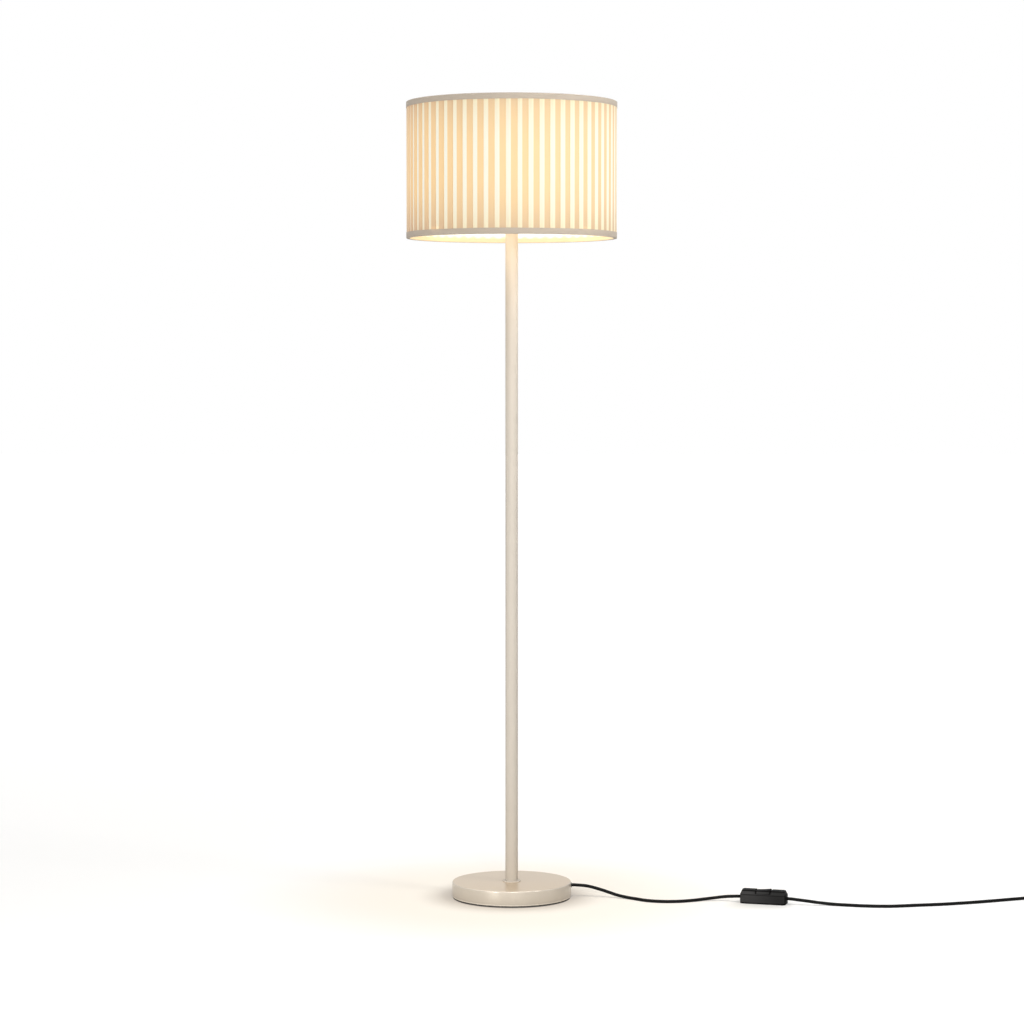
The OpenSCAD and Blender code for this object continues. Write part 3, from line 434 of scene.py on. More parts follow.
half = COIL_TURNS / 2
from_half = abs(round(half - 0.5) + 0.5 - half)
tie_out = COIL_AT[1] + COIL_R - 0.5 * COIL_STEP + TIE_GAP
tie_in = COIL_AT[1] + COIL_R - COIL_STEP * (half - from_half) - TIE_GAP
tie_low, tie_top, tie_bend = 0.3, COIL_Z + COIL_RISE + TIE_GAP, 2.2
tie_line = fillet([(tie_in, tie_low, tie_bend), (tie_out, tie_low, tie_bend),
                   (tie_out, tie_top, tie_bend), (tie_in, tie_top, tie_bend)], 5)
TIE_W, TIE_T = 8, 0.56
cut = fillet([(x * TIE_W / 2, y * TIE_T / 2, 0.2) for x, y in ((-1, -1), (1, -1), (1, 1), (-1, 1))], 2)
ahead = np.gradient(np.vstack([tie_line[-1], tie_line, tie_line[0]]), axis=0)[1:-1]
normal = ahead[:, ::-1] * [1, -1] / np.linalg.norm(ahead, axis=1, keepdims=True)
band = np.stack([np.broadcast_to(COIL_AT[0] + cut[:, 0], (len(tie_line), len(cut))),
                 *(tie_line[:, None, k] + normal[:, None, k] * cut[:, 1] for k in (0, 1))], -1)
coil_strap = ride(skin("coil_strap", band * MM, along=True), "stand", "black_plastic", "coil_tie")

tuple(first_run[0])
print("tie from", round(tie_in, 1), "to", round(tie_out, 1), "mm")

# %% [markdown]
# ## Finishes as arithmetic
# A finish is a Principled shader with a few patterns. Patterns are easiest to read as formulas, so
# a small class lets a node's output be added, multiplied and divided like a number. Everything
# else comes from one method that takes a node's type, its settings and its inputs.


# %% Sockets that can be added and multiplied
class Number:
    """An output that varies over a surface, with ordinary arithmetic on it."""

    def __init__(self, sheet, socket):
        self.sheet, self.socket = sheet, socket

    __add__ = __radd__ = lambda self, other: self.sheet.maths("ADD", self, other)
    __mul__ = __rmul__ = lambda self, other: self.sheet.maths("MULTIPLY", self, other)
    __sub__ = lambda self, other: self.sheet.maths("SUBTRACT", self, other)
    __rsub__ = lambda self, other: self.sheet.maths("SUBTRACT", other, self)
    __truediv__ = lambda self, other: self.sheet.maths("DIVIDE", self, other)
    __rtruediv__ = lambda self, other: self.sheet.maths("DIVIDE", other, self)
    __pow__ = lambda self, other: self.sheet.maths("POWER", self, other)


# %% A tree of nodes
class Sheet:
    """An empty tree of nodes, of a material or of the world."""

    def __init__(self, owner):
        owner.use_nodes = True
        self.tree = owner.node_tree
        self.tree.nodes.clear()

    def node(self, kind, settings=None, inputs=None, out=0):
        """Adds a node: first its settings, then the values or links of its sockets."""
        made = self.tree.nodes.new(kind)
        for key, value in (settings or {}).items():
            setattr(made, key, value)
        for key, value in (inputs or {}).items():
            if isinstance(value, Number):
                self.tree.links.new(value.socket, made.inputs[key])
            else:
                made.inputs[key].default_value = value
        return Number(self, made.outputs[out])

    def maths(self, operation, a, b=0.0):
        """Math node of two values."""
        return self.node("ShaderNodeMath", {"operation": operation}, {0: a, 1: b})

    def seen(self):
        """1 for the rays of the camera, of a mirror and of glass, and 0 for those that carry light."""
        camera_ray, mirror_ray, glass_ray = (
            self.node("ShaderNodeLightPath", out=f"Is {kind} Ray")
            for kind in ("Camera", "Glossy", "Transmission"))
        return self.maths("MAXIMUM", self.maths("MAXIMUM", camera_ray, mirror_ray), glass_ray)


# %% A finish and its patterns
class Finish(Sheet):
    """One material. It starts as a Principled shader whose fixed values are set on its sockets."""

    def __init__(self, name, **fixed):
        self.material = bpy.data.materials.new(name)
        super().__init__(self.material)
        self.shader = self.tree.nodes.new("ShaderNodeBsdfPrincipled")
        output = self.tree.nodes.new("ShaderNodeOutputMaterial")
        self.tree.links.new(self.shader.outputs[0], output.inputs[0])
        for socket, value in fixed.items():
            self.shader.inputs[socket.replace("_", " ")].default_value = value

    def feed(self, **patterns):
        """Links patterns to the shader's sockets."""
        for socket, pattern in patterns.items():
            self.tree.links.new(pattern.socket, self.shader.inputs[socket.replace("_", " ")])
        return self

    def place(self):
        """Object coordinates, in metres."""
        return self.node("ShaderNodeTexCoord", out="Object")

    def surface(self):
        """The piece's own uv map, in metres."""
        return self.node("ShaderNodeUVMap", {"uv_map": "surface"})

    def parts(self, vector):
        """The three numbers of a vector."""
        cut = self.node("ShaderNodeSeparateXYZ", inputs={0: vector})
        return [Number(self, cut.socket.node.outputs[k]) for k in range(3)]

    def noise(self, vector, scale, detail=3.0, rough=0.55):
        """Soft irregular pattern from 0 to 1, about scale cells to the metre."""
        return self.node("ShaderNodeTexNoise", inputs={
            "Vector": vector, "Scale": scale, "Detail": detail, "Roughness": rough})

    def stretch(self, vector, by):
        """Coordinates scaled by three factors."""
        return self.node("ShaderNodeVectorMath", {"operation": "MULTIPLY"}, {0: vector, 1: by})

    def between(self, share, a, b):
        """Colour that goes from a to b as share goes from 0 to 1."""
        a, b = (end if isinstance(end, Number) else (*end, 1) for end in (a, b))
        return self.node("ShaderNodeMix", {"data_type": "RGBA"}, {0: share, 6: a, 7: b}, out=2)

    def spread(self, value, low_in, high_in, low_out, high_out):
        """Value carried from one range to another, with soft ends."""
        return self.node("ShaderNodeMapRange", {"interpolation_type": "SMOOTHSTEP"}, {
            "Value": value, "From Min": low_in, "From Max": high_in, "To Min": low_out, "To Max": high_out})

    def wave(self, value, period):
        """Sine from 0 to 1 with a period in the value's own unit."""
        return self.maths("SINE", value * (TURN / period)) * 0.5 + 0.5

    def bump(self, height, depth, strength=1.0):
        """Normal tilted by the slope of height, which is depth metres deep."""
        return self.node("ShaderNodeBump", inputs={"Height": height, "Distance": depth, "Strength": strength})


def dress(finish, *pieces):
    """Gives pieces, or CAD nodes by name, one finish."""
    for piece in pieces:
        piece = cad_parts.get(piece, piece) if isinstance(piece, str) else piece
        piece = bpy.data.objects[piece] if isinstance(piece, str) else piece
        piece.data.materials.clear()
        piece.data.materials.append(finish.material)


print("finish helpers ready")

# %% [markdown]
# ## Metals and plastics
# The stand is coated in a satin champagne lacquer. On the base it is part metallic flake, so its
# side carries a soft streak of light, and a fine grain in its roughness breaks up the streak as real
# spray does. On the pole, which looks nearly even, it is almost plain paint. The inner parts are
# zinc, brass and raw iron.

# %% Lacquer, steel, brass and iron
# Colours of the painted highlight on the base's skirt and of the painted shade on its top.
HEM_HIGHLIGHT_COLOUR, TOP_SHADE_COLOUR = (0.80, 0.74, 0.64), (0.565, 0.455, 0.33)


def lacquered(name, metallic, rough, dark, light, sheen, hem=0.0, crown=2.0):
    """Satin lacquer: fine flake and a slow cloud in colour and roughness. Below the height of the
    hem it carries a painted highlight, the light that the floor throws on the base's skirt, and from
    the height of the crown up, the top of the base, it is painted darker and warmer as painted shade."""
    finish = Finish(name, Metallic=metallic, Specular_IOR_Level=sheen)
    spot = finish.place()
    flake, cloud = finish.noise(spot, 2600, 2), finish.noise(spot, 9, 3)
    height = finish.parts(spot)[2]
    # Painted highlight on the skirt below the hem, and painted shade on the top face from the crown up.
    painted_hem_light = finish.spread(height, hem - 0.3 * MM, hem + 0.3 * MM, 1, 0)
    thick = finish.spread(height, crown - 0.5 * MM, crown, 0, 1)
    colour = finish.between(cloud * 0.6 + flake * 0.4, dark, light)
    return finish.feed(
        Base_Color=finish.between(painted_hem_light, finish.between(thick, colour, TOP_SHADE_COLOUR), HEM_HIGHLIGHT_COLOUR),
        Roughness=flake * 0.08 + cloud * 0.05 + rough,
        Normal=finish.bump(flake, 0.03 * MM, 0.5),
    )


lacquer = lacquered("pole_lacquer", 0.02, 0.34, (0.51, 0.462, 0.40), (0.57, 0.522, 0.46), 0.04)
base_lacquer = lacquered("base_lacquer", 0.34, 0.25, (0.53, 0.475, 0.403), (0.60, 0.545, 0.47), 0.35,
                         hem=4.0 * MM, crown=high("base_cover"))


def grained(name, dark, light, grain, rough, depth, detail=3, swing=0.14, tilt=0.35, **fixed):
    """Plain stuff whose fine grain shifts its colour, roughness and height a little."""
    finish = Finish(name, **fixed)
    pattern = finish.noise(finish.place(), grain, detail)
    return finish.feed(
        Base_Color=finish.between(pattern, dark, light),
        Roughness=pattern * swing + rough,
        Normal=finish.bump(pattern, depth, tilt),
    )


def bare_metal(name, dark, light, grain, rough, metallic=1.0):
    """Metal with a coarser grain than a moulding."""
    return grained(name, dark, light, grain, rough, 0.2 * MM, 4, 0.15, 0.3, Metallic=metallic)


zinc = bare_metal("zinc_steel", (0.52, 0.53, 0.55), (0.68, 0.69, 0.72), 420, 0.3)
brass = bare_metal("turned_brass", (0.66, 0.48, 0.22), (0.86, 0.68, 0.36), 500, 0.25)
iron = bare_metal("raw_iron", (0.07, 0.07, 0.075), (0.16, 0.155, 0.15), 240, 0.6, 0.7)

# %% Plastics, rubber and wire insulation
black_shell = grained("black_moulding", (0.020, 0.020, 0.021), (0.034, 0.034, 0.036), 1500, 0.58,
                      0.05 * MM, Specular_IOR_Level=0.18)
white_moulding = grained("white_moulding", (0.80, 0.79, 0.76), (0.86, 0.85, 0.82), 600, 0.4, 0.03 * MM)
foam = grained("foam_rubber", (0.015, 0.015, 0.015), (0.05, 0.05, 0.05), 900, 0.85, 0.4 * MM)
copper_wire = grained("wire_insulation", (0.20, 0.09, 0.05), (0.28, 0.14, 0.08), 400, 0.45, 0.03 * MM)

cord_sheath = Finish("cord_sheath", Specular_IOR_Level=0.06)
sheath_grain = cord_sheath.noise(cord_sheath.stretch(cord_sheath.surface(), (3, 300, 1)), 1, 3)
cord_sheath.feed(
    Base_Color=cord_sheath.between(sheath_grain, (0.004, 0.004, 0.004), (0.010, 0.010, 0.010)),
    Roughness=sheath_grain * 0.12 + 0.34,
    Normal=cord_sheath.bump(sheath_grain, 0.08 * MM, 0.4),
)


def along_switch(x, y):
    """Distance along the switch from its middle, and distance across it away from the front: the
    place less the switch's own, turned back by its yaw."""
    c, s = float(np.cos(SWITCH_YAW)), float(np.sin(SWITCH_YAW))
    x, y = x - SWITCH_AT[0] * MM, y - SWITCH_AT[1] * MM
    return x * c + y * s, y * c - x * s


def switch_moulding(name, low_edge, half, grain):
    """Black plastic with painted shade: darker along its edges, below low_edge, near the top, beyond half its
    length at both ends, and along the line where its slopes start, all in mm, as a painted outline, contact
    shadow and shadow line under the rocker. A painted gradient of light makes it greyest towards the lamp."""
    finish = Finish(name, Specular_IOR_Level=0.06)
    spot = finish.place()
    x, y, height = finish.parts(spot)
    u = along_switch(x, y)[0]

    def mask(value, start, end, low_out, high_out):
        """Spread of a value with its range in mm."""
        return finish.spread(value, start * MM, end * MM, low_out, high_out)

    # Painted shade at the ends, along the bottom and top rims, and in the line under the rocker.
    ends = mask(u, half, half + 1, 0, 1) + mask(u, -half - 1, -half, 1, 0)
    brow = mask(height, 16.0, 16.9, 0, 0.7) * mask(height, 17.6, 18.5, 1, 0)
    rims = mask(height, low_edge, low_edge + 1.5, 1, 0) + mask(height, 22.7, 23.8, 0, 1)
    painted_edge_shade = finish.maths("MINIMUM", ends + rims + brow, 1.0)
    pattern = finish.noise(spot, grain, 3)
    # Fine grain plus a painted gradient of light that is greyest towards the lamp.
    grain_and_side_light = pattern * 0.3 + mask(u, -35, 35, 0.7, 0)
    shade = finish.between(grain_and_side_light, (0.013, 0.013, 0.013), (0.042, 0.041, 0.041))
    return finish.feed(
        Base_Color=finish.between(painted_edge_shade, shade, (0.001, 0.001, 0.001)),
        Roughness=pattern * 0.14 + 0.55,
        Normal=finish.bump(pattern, 0.04 * MM, 0.35),
    )


switch_shell = switch_moulding("switch_moulding", 1.8, 41.8, 1500)
black_key = switch_moulding("switch_key", 18.8, 11.8, 900)
dress(cord_sheath, lead_to_switch, lead_to_plug)
dress(switch_shell, "switch_cover", lower_shell)
dress(black_shell, plug_body, "pin_sleeve_left", "pin_sleeve_right", coil_strap)
dress(black_key, rocker, "rocker_axle")
dress(brass, "plug_pin_left", "plug_pin_right", "switch_contacts", "base_nipple", "top_nipple",
      "terminal_screws", "thread_sleeve", "centre_contact")
dress(zinc, "base_plate", "base_washer", "base_nut", "foot_insert", "top_insert", "switch_screws",
      "lower_wire_ring", "upper_wire_ring")
dress(iron, "base_weight")
dress(copper_wire, "lead_wires")
dress(black_shell, "inner_cord")
dress(white_moulding, "terminal_block")
print(len(bpy.data.materials), "materials so far")

# %% [markdown]
# ## Base and pole
# The base is a spun cover over a cast weight, closed by a plate with a soft pad. A turned profile
# with its true sheet thickness and a small rolled shoulder catches light along its edge, as the
# photograph shows it, and its 1 mm skirt hides the joint with the pad. The pole is one tube on a
# flat collar.

# %% Base cover, pad, collar and pole
BASE_R, BASE_LOW, BASE_TOP = round_size("base_cover")
COVER_T, SHOULDER, NIPPLE_R, SKIRT = 1.2 * MM, 2.2 * MM, 5.3 * MM, 1.0 * MM
COVER_IN, COVER_LOW = BASE_R - COVER_T, BASE_LOW - SKIRT
cover = fillet([
    (NIPPLE_R, BASE_TOP, 0), (BASE_R, BASE_TOP, SHOULDER), (BASE_R, COVER_LOW, 1.0 * MM),
    (COVER_IN, COVER_LOW, 0.1 * MM), (COVER_IN, BASE_TOP - COVER_T, SHOULDER - COVER_T),
    (NIPPLE_R, BASE_TOP - COVER_T, 0)], 8)
base_shell = ride(turned("base_shell", cover, 192), "stand", "champagne_metal", "base_cover")
dress(base_lacquer, base_shell)

PAD_R, _, PAD_TOP = round_size("felt_pad")
pad_profile = fillet([(0, 0, 0), (PAD_R, 0, 0.6 * MM), (PAD_R, PAD_TOP, 0), (0, PAD_TOP, 0)], closed=False)
foam_pad = ride(turned("foam_pad", pad_profile, 128), "stand", "pad", "felt_pad")
dress(foam, foam_pad)

COLLAR_R, _, COLLAR_TOP = round_size("foot_collar")
collar_profile = fillet([(NIPPLE_R, BASE_TOP, 0), (COLLAR_R, BASE_TOP, 0),
                         (COLLAR_R, COLLAR_TOP, 0.5 * MM), (NIPPLE_R, COLLAR_TOP, 0)], 5)
foot_ring = ride(turned("foot_ring", collar_profile), "stand", "champagne_metal", "foot_collar")

POLE_R, POLE_LOW, POLE_TOP = round_size("pole_tube")
POLE_IN = POLE_R - 1.2 * MM
pole_profile = fillet([(POLE_R, POLE_LOW, 0.4 * MM), (POLE_R, POLE_TOP, 0.4 * MM),
                       (POLE_IN, POLE_TOP, 0), (POLE_IN, POLE_LOW, 0)], 3)
pole = ride(turned("pole", pole_profile, 80), "stand", "champagne_metal", "pole_tube")
dress(lacquer, foot_ring, pole)
print("base", round(2 * BASE_R, 3), "m across, pole", round(POLE_TOP - POLE_LOW, 3), "m long")

# %% The grommet of the lead
bush_low, bush_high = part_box("cord_bush")
bush_r, bush_long, lip = (bush_high.z - bush_low.z) / 2, bush_high.x - bush_low.x, 1 * MM
bush_profile = fillet([
    (LEAD / 2, 0, 0.2 * MM), (bush_r, 0, 0.4 * MM), (bush_r, lip, 0), (bush_r - 0.8 * MM, lip, 0),
    (bush_r - 1.6 * MM, bush_long, 0.3 * MM), (LEAD / 2, bush_long, 0)], 3)
bush_round = about_pole(bush_profile[:, :1], bush_profile[:, 1:], bearings(40))
bush_grid = np.stack([bush_high.x - bush_round[..., 2], bush_round[..., 0],
                      (bush_low.z + bush_high.z) / 2 + bush_round[..., 1]], -1)
grommet = ride(skin("lead_grommet", bush_grid, along=True), "stand", "black_plastic", "cord_bush")
dress(black_shell, grommet)
print("grommet", round(2000 * bush_r, 1), "mm across")

# %% [markdown]
# ## Lampholder and bulb
# The threads are true helices: on a turned form the radius also swings with the height minus the
# share of a turn, so that one ridge climbs by its pitch on each turn.


# %% Threaded forms
def threaded(name, radius, depth, pitch, z0, z1, wall, columns=96, per_pitch=10):
    """Threaded tube. The outer radius is the crest's less depth times 1 - (1 + cos of the phase) / 2,
    with the phase height / pitch - angle, and it fades to a plain root over the end turns. With a
    wall below 0 the inner radius is even, at the crest's plus that wall."""
    rows = int((z1 - z0) / pitch * per_pitch) + 1
    z, a = np.meshgrid(np.linspace(z0, z1, rows), bearings(columns), indexing="ij")
    fade = np.clip(np.minimum(z - z0, z1 - z) / (0.8 * pitch), 0, 1)
    groove = depth * (1 - fade * (1 + np.cos((z - z0) / pitch * TURN - a)) / 2)
    r_out = radius - groove
    r_in = r_out - wall if wall > 0 else np.full_like(r_out, radius + wall)
    return skin(name, np.vstack([about_pole(r_out, z, a), about_pole(r_in, z, a)[::-1]]), along=True)


# %% Lampholder
def quarter_round(start, end):
    """Quarter of an ellipse between two (radius, height) points: the radius goes with the sine of
    the angle and the height with 1 - its cosine."""
    quarter = np.linspace(0, np.pi / 2, 13)[:, None]
    return start + (np.asarray(end) - start) * np.hstack([np.sin(quarter), 1 - np.cos(quarter)])


CAP_LOW, SEAT = low("holder_cap"), high("holder_cap")
HOLDER_R, HOLDER_IN = 19.7 * MM, 17.6 * MM
CUP_R, DOME_TOP = HOLDER_R - 0.1 * MM, CAP_LOW + 0.62 * (SEAT - CAP_LOW)
BORE_R, BOSS_R, BOSS_TOP, CUP_FLOOR = 5 * MM, 8.2 * MM, CAP_LOW + 10 * MM, CAP_LOW + 3 * MM
cap_profile = np.vstack([
    [[BORE_R, CAP_LOW]], quarter_round((POLE_R, CAP_LOW), (CUP_R, DOME_TOP)),
    [[CUP_R, SEAT], [HOLDER_IN, SEAT]],
    quarter_round((BOSS_R + 1 * MM, CUP_FLOOR), (HOLDER_IN, DOME_TOP))[::-1],
    [[BOSS_R, CUP_FLOOR], [BOSS_R, BOSS_TOP], [BORE_R, BOSS_TOP]]])
holder_cup = ride(turned("holder_cup", cap_profile), "stand", "white_plastic", "holder_cap")

FLANGE_R, _, MOUTH = round_size("holder_body")
FLANGE_TOP, ROOT_R, MOUTH_R = SEAT + 2.5 * MM, 19.0 * MM, 12.9 * MM
SHELF_LOW, SHELF_TOP = high("terminal_block") + 0.3 * MM, high("terminal_block") + 2 * MM
flange_profile = fillet([
    (HOLDER_IN, SEAT, 0), (FLANGE_R, SEAT, 0.6 * MM), (FLANGE_R, FLANGE_TOP, 0.6 * MM),
    (ROOT_R, FLANGE_TOP, 0), (ROOT_R, SHELF_TOP, 0), (MOUTH_R, SHELF_TOP, 0), (MOUTH_R, SHELF_LOW, 0),
    (HOLDER_IN, SHELF_LOW, 0)], 4)
holder_flange = ride(turned("holder_flange", flange_profile), "stand", "white_plastic", "holder_body")
barrel = threaded("holder_barrel", HOLDER_R, 0.55 * MM, 3 * MM, FLANGE_TOP, MOUTH, -5.4 * MM)
ride(barrel, "stand", "white_plastic")
dress(white_moulding, holder_cup, holder_flange, barrel)

RING_R, RING_LOW, RING_TOP = round_size("shade_ring")
RING_IN, BEVEL, HOLLOWS = 20 * MM, 2 * MM, 16
ring_profile = fillet([
    (RING_IN, RING_LOW, 0), (RING_R, RING_LOW, 0.8 * MM), (RING_R, RING_TOP - BEVEL, 0.6 * MM),
    (RING_R - BEVEL, RING_TOP, 0.6 * MM), (RING_IN, RING_TOP, 0)], 3)
ring_angle = bearings(256)
hollow = 1.0 * MM * np.exp(-((np.abs((ring_angle * HOLLOWS / TURN + 0.5) % 1 - 0.5) / 0.17) ** 2))
grip = np.clip((ring_profile[:, :1] - RING_IN) / (RING_R - RING_IN), 0, 1)
ring_grid = about_pole(ring_profile[:, :1] - hollow * grip, ring_profile[:, 1:], ring_angle)
clamp_ring = ride(skin("clamp_ring", ring_grid, along=True), "ring", "white_plastic", "shade_ring")
dress(white_moulding, clamp_ring)
print("lampholder", round(1000 * (MOUTH - CAP_LOW), 1), "mm high")

# %% Bulb
def from_foot(*corners):
    """(radius, height above the bulb's foot, rounding) corners in mm, moved to the lamp."""
    return [(r * MM, BULB_Z + h * MM, rounding * MM) for r, h, rounding in corners]


GLOBE_R, _, BULB_TOP = round_size("bulb_globe")
BULB_Z, GLOBE_Z, GLASS_T = low("bulb_contact"), BULB_TOP - GLOBE_R, 1 * MM
neck_r, neck_z = 14.0 * MM, BULB_Z + 27.2 * MM
# The glass follows the line from the neck that touches the globe, and starts two thirds up it.
gap = np.hypot(neck_r, GLOBE_Z - neck_z)
slope = np.arctan2(GLOBE_Z - neck_z, -neck_r) - np.arcsin(GLOBE_R / gap)
tangent = np.sqrt(gap**2 - GLOBE_R**2) * np.array([np.cos(slope), np.sin(slope)])
joint, touch = (np.array([neck_r, neck_z]) + share * tangent for share in (0.66, 1))
crown = np.linspace(np.arctan2(touch[1] - GLOBE_Z, touch[0]), np.pi / 2, 33)
dome_out, dome_in = (np.column_stack([r * np.cos(crown), GLOBE_Z + r * np.sin(crown)])
                     for r in (GLOBE_R, GLOBE_R - GLASS_T))
dome_out[-1, 0] = dome_in[-1, 0] = 0
dome = turned("bulb_dome", np.vstack([dome_in[::-1], [joint - [GLASS_T, 0]], [joint], dome_out]), 72)
ride(dome, "bulb", "opal", "bulb_globe")
print("bulb", round(1000 * (BULB_TOP - BULB_Z), 1), "mm long")

# %% The bulb's neck, screw and foot
neck_top = joint[1] - 0.1 * MM
neck_profile = np.vstack([
    np.array(from_foot((0, 8, 0), (11.6, 8, 0), (11.6, 27.2, 0)))[:, :2],
    fillet([(neck_r - 0.6 * MM, neck_z, 0), (neck_r, neck_z, 0.4 * MM), (joint[0], neck_top, 0.3 * MM),
            (joint[0] - 1.3 * MM, neck_top, 0)], 4, closed=False),
    [[joint[0] - 1.3 * MM, joint[1] + 1.4 * MM], [0, joint[1] + 1.4 * MM]]])
neck = ride(turned("bulb_neck", neck_profile, 72), "bulb", "white_plastic", "bulb_housing")
screw = threaded("bulb_screw", 13.2 * MM, 0.8 * MM, 3.63 * MM, BULB_Z + 7.5 * MM, BULB_Z + 27 * MM, 0.5 * MM)
ride(screw, "bulb", "steel")
shoulder = turned("bulb_shoulder", fillet(from_foot(
    (7, 4, 0), (10.5, 4.4, 0.8), (12.4, 7.5, 0), (11.8, 7.5, 0), (10.3, 4.9, 0.5), (7, 4.5, 0)), 3), 72)
ride(shoulder, "bulb", "steel", "bulb_cap")
insulator = turned("bulb_glass_bead", fillet(from_foot(
    (0, 1.2, 0), (4.8, 1.2, 0.4), (10.2, 4.1, 0), (6.9, 3.9, 0), (6.9, 4.6, 0), (0, 4.6, 0)),
    closed=False), 72)
ride(insulator, "bulb", "black_plastic", "bulb_insulator")
contact = turned("bulb_foot", fillet(from_foot(
    (0, 0, 0), (2.6, 0, 0.8), (4.6, 1.2, 0.2), (0, 1.2, 0)), closed=False), 48)
ride(contact, "bulb", "steel", "bulb_contact")

opal = Finish("opal_dome", Roughness=0.32, Emission_Strength=1.0)
fading = opal.spread(opal.parts(opal.place())[2], GLOBE_Z - 0.02, GLOBE_Z + 0.005, 0.0, 1.0)
opal.feed(
    Base_Color=opal.between(opal.noise(opal.place(), 60), (0.90, 0.88, 0.82), (0.94, 0.92, 0.87)),
    Emission_Color=opal.between(fading, (2.6, 2.0, 1.15), (6.0, 4.9, 3.2)),
)
dress(opal, dome)
dress(white_moulding, neck)
dress(zinc, screw, shoulder, contact)
dress(black_key, insulator)
print("the globe glows from", round(GLOBE_Z - 0.02, 3), "m up")

# %% [markdown]
# ## The shade
# The drum is a long strip of cloth in knife pleats round a stiff film lining, with a tape folded
# over each rim. Where the cloth lies single, the bulb shines through nearly white; where it lies
# three layers thick it glows tan, a little darker towards each fold. The strip is computed as it
# is sewn: along each pleat it rises, lies flat, folds back under itself and folds forward again.

# %% The pleated strip
# The middle of the first single layer lies FIRST degrees to the right of the front.
PLEATS, OVERLAP, FIRST = 60, 0.54, 4.08
CLOTH_T, LAYER = 0.45 * MM, 0.7 * MM
RISE_FROM, RISE_GAP, WANDER, RIPPLE = 0.08, 0.1, 0.006, 0.004
SHADE_R, SHADE_LOW, _ = round_size("lower_tape")
SHADE_TOP, CLOTH_LOW, CLOTH_HIGH = high("upper_tape"), low("pleated_cloth"), high("pleated_cloth")
CLOTH_H = CLOTH_HIGH - CLOTH_LOW
LEVEL = SHADE_R - 0.6 * MM - CLOTH_T / 2 - LAYER * np.array([2, 1, 0])
STEP = TURN / PLEATS


def one_pleat():
    """Radius, bearing past the fold before it, in pleats, and place along the strip, in pleats.
    The strip leaves the lowest level at RISE_FROM, reaches the top level RISE_GAP before the place
    of its second fold, folds at 1, runs back to 1 - overlap, folds again and runs forward. Each
    fold is a half circle between two levels, and the rise is a half cosine."""
    back, curl = 1 - OVERLAP, LAYER / 2 / (SHADE_R * STEP)
    on_top = back - RISE_GAP
    rise, turn = np.linspace(0, 1, 7), np.linspace(0, np.pi, 7)

    def flat(level, start, end, steps):
        """Straight run on one level, without its first point."""
        return np.column_stack([np.full(steps, LEVEL[level]), np.linspace(start, end, steps + 1)[1:]])

    def fold_down(level, at, way):
        """Half circle from a level to the one below, without its first point."""
        middle = (LEVEL[level] + LEVEL[level - 1]) / 2
        return np.column_stack([middle + LAYER / 2 * np.cos(turn), at + way * curl * np.sin(turn)])[1:]

    made = np.vstack([
        np.column_stack([LEVEL[0] + (LEVEL[2] - LEVEL[0]) * (1 - np.cos(np.pi * rise)) / 2,
                         RISE_FROM + (on_top - RISE_FROM) * rise]),
        flat(2, on_top, 1 - curl, 5), fold_down(2, 1 - curl, 1), flat(1, 1 - curl, back + curl, 3),
        fold_down(1, back + curl, -1), flat(0, back + curl, 1 + RISE_FROM, 4)[:-1]])
    return made[:, 0], made[:, 1], RISE_FROM + np.append(0, np.cumsum(np.abs(np.diff(made[:, 1]))))


radius, bearing, strip_at = one_pleat()
per_pleat = len(radius)
rng = np.random.default_rng(7)
wander = rng.normal(0, WANDER, PLEATS)
pleat_index = np.repeat(np.arange(PLEATS), per_pleat)
offset = (FIRST - 90) / 360 * PLEATS - (1 - OVERLAP) / 2
all_bearing = np.tile(bearing, PLEATS) + pleat_index + offset
up = np.linspace(0, 1, 25)[:, None]
slack = np.interp(np.tile(bearing, PLEATS), [RISE_FROM, 1, 1 + RISE_FROM], [0, 1, 0]) * np.sin(up * np.pi)
sway = slack * (wander[pleat_index] + RIPPLE * np.sin(up * 9 + pleat_index * 1.7))
cloth_grid = about_pole(np.tile(radius, PLEATS), CLOTH_LOW + CLOTH_H * up, (all_bearing + sway) * STEP)
cloth_u = np.append(np.tile(strip_at, PLEATS), 1 + RISE_FROM + 2 * OVERLAP)
cloth_uv = np.stack(np.meshgrid(cloth_u, CLOTH_H * up[:, 0]), -1)
cloth = skin("pleated_drum", cloth_grid, uv=cloth_uv, crease=180)
thick = cloth.modifiers.new("thickness", "SOLIDIFY")
thick.thickness, thick.offset, thick.use_even_offset = CLOTH_T, 0, True
ride(cloth, "shade", "ivory_cloth", "pleated_cloth")

# %% The lining and the rim tapes
LINING_OUT = round_size("shade_lining")[0]
LINING_IN = LINING_OUT - 0.8 * MM
lining_profile = [(LINING_OUT, CLOTH_LOW), (LINING_OUT, CLOTH_HIGH), (LINING_IN, CLOTH_HIGH)]
lining_profile += [(LINING_IN, h) for h in np.linspace(CLOTH_HIGH, CLOTH_LOW, 13)[1:]]
lining = ride(turned("drum_lining", lining_profile, 240), "shade", "lining", "shade_lining")

WIRE, PLAY = 3 * MM, 0.1 * MM
TAPE_T, TAPE_H, TAPE_IN_H = 0.5 * MM, 11 * MM, 8 * MM
TAPE_IN = LINING_IN - PLAY - WIRE - PLAY - TAPE_T


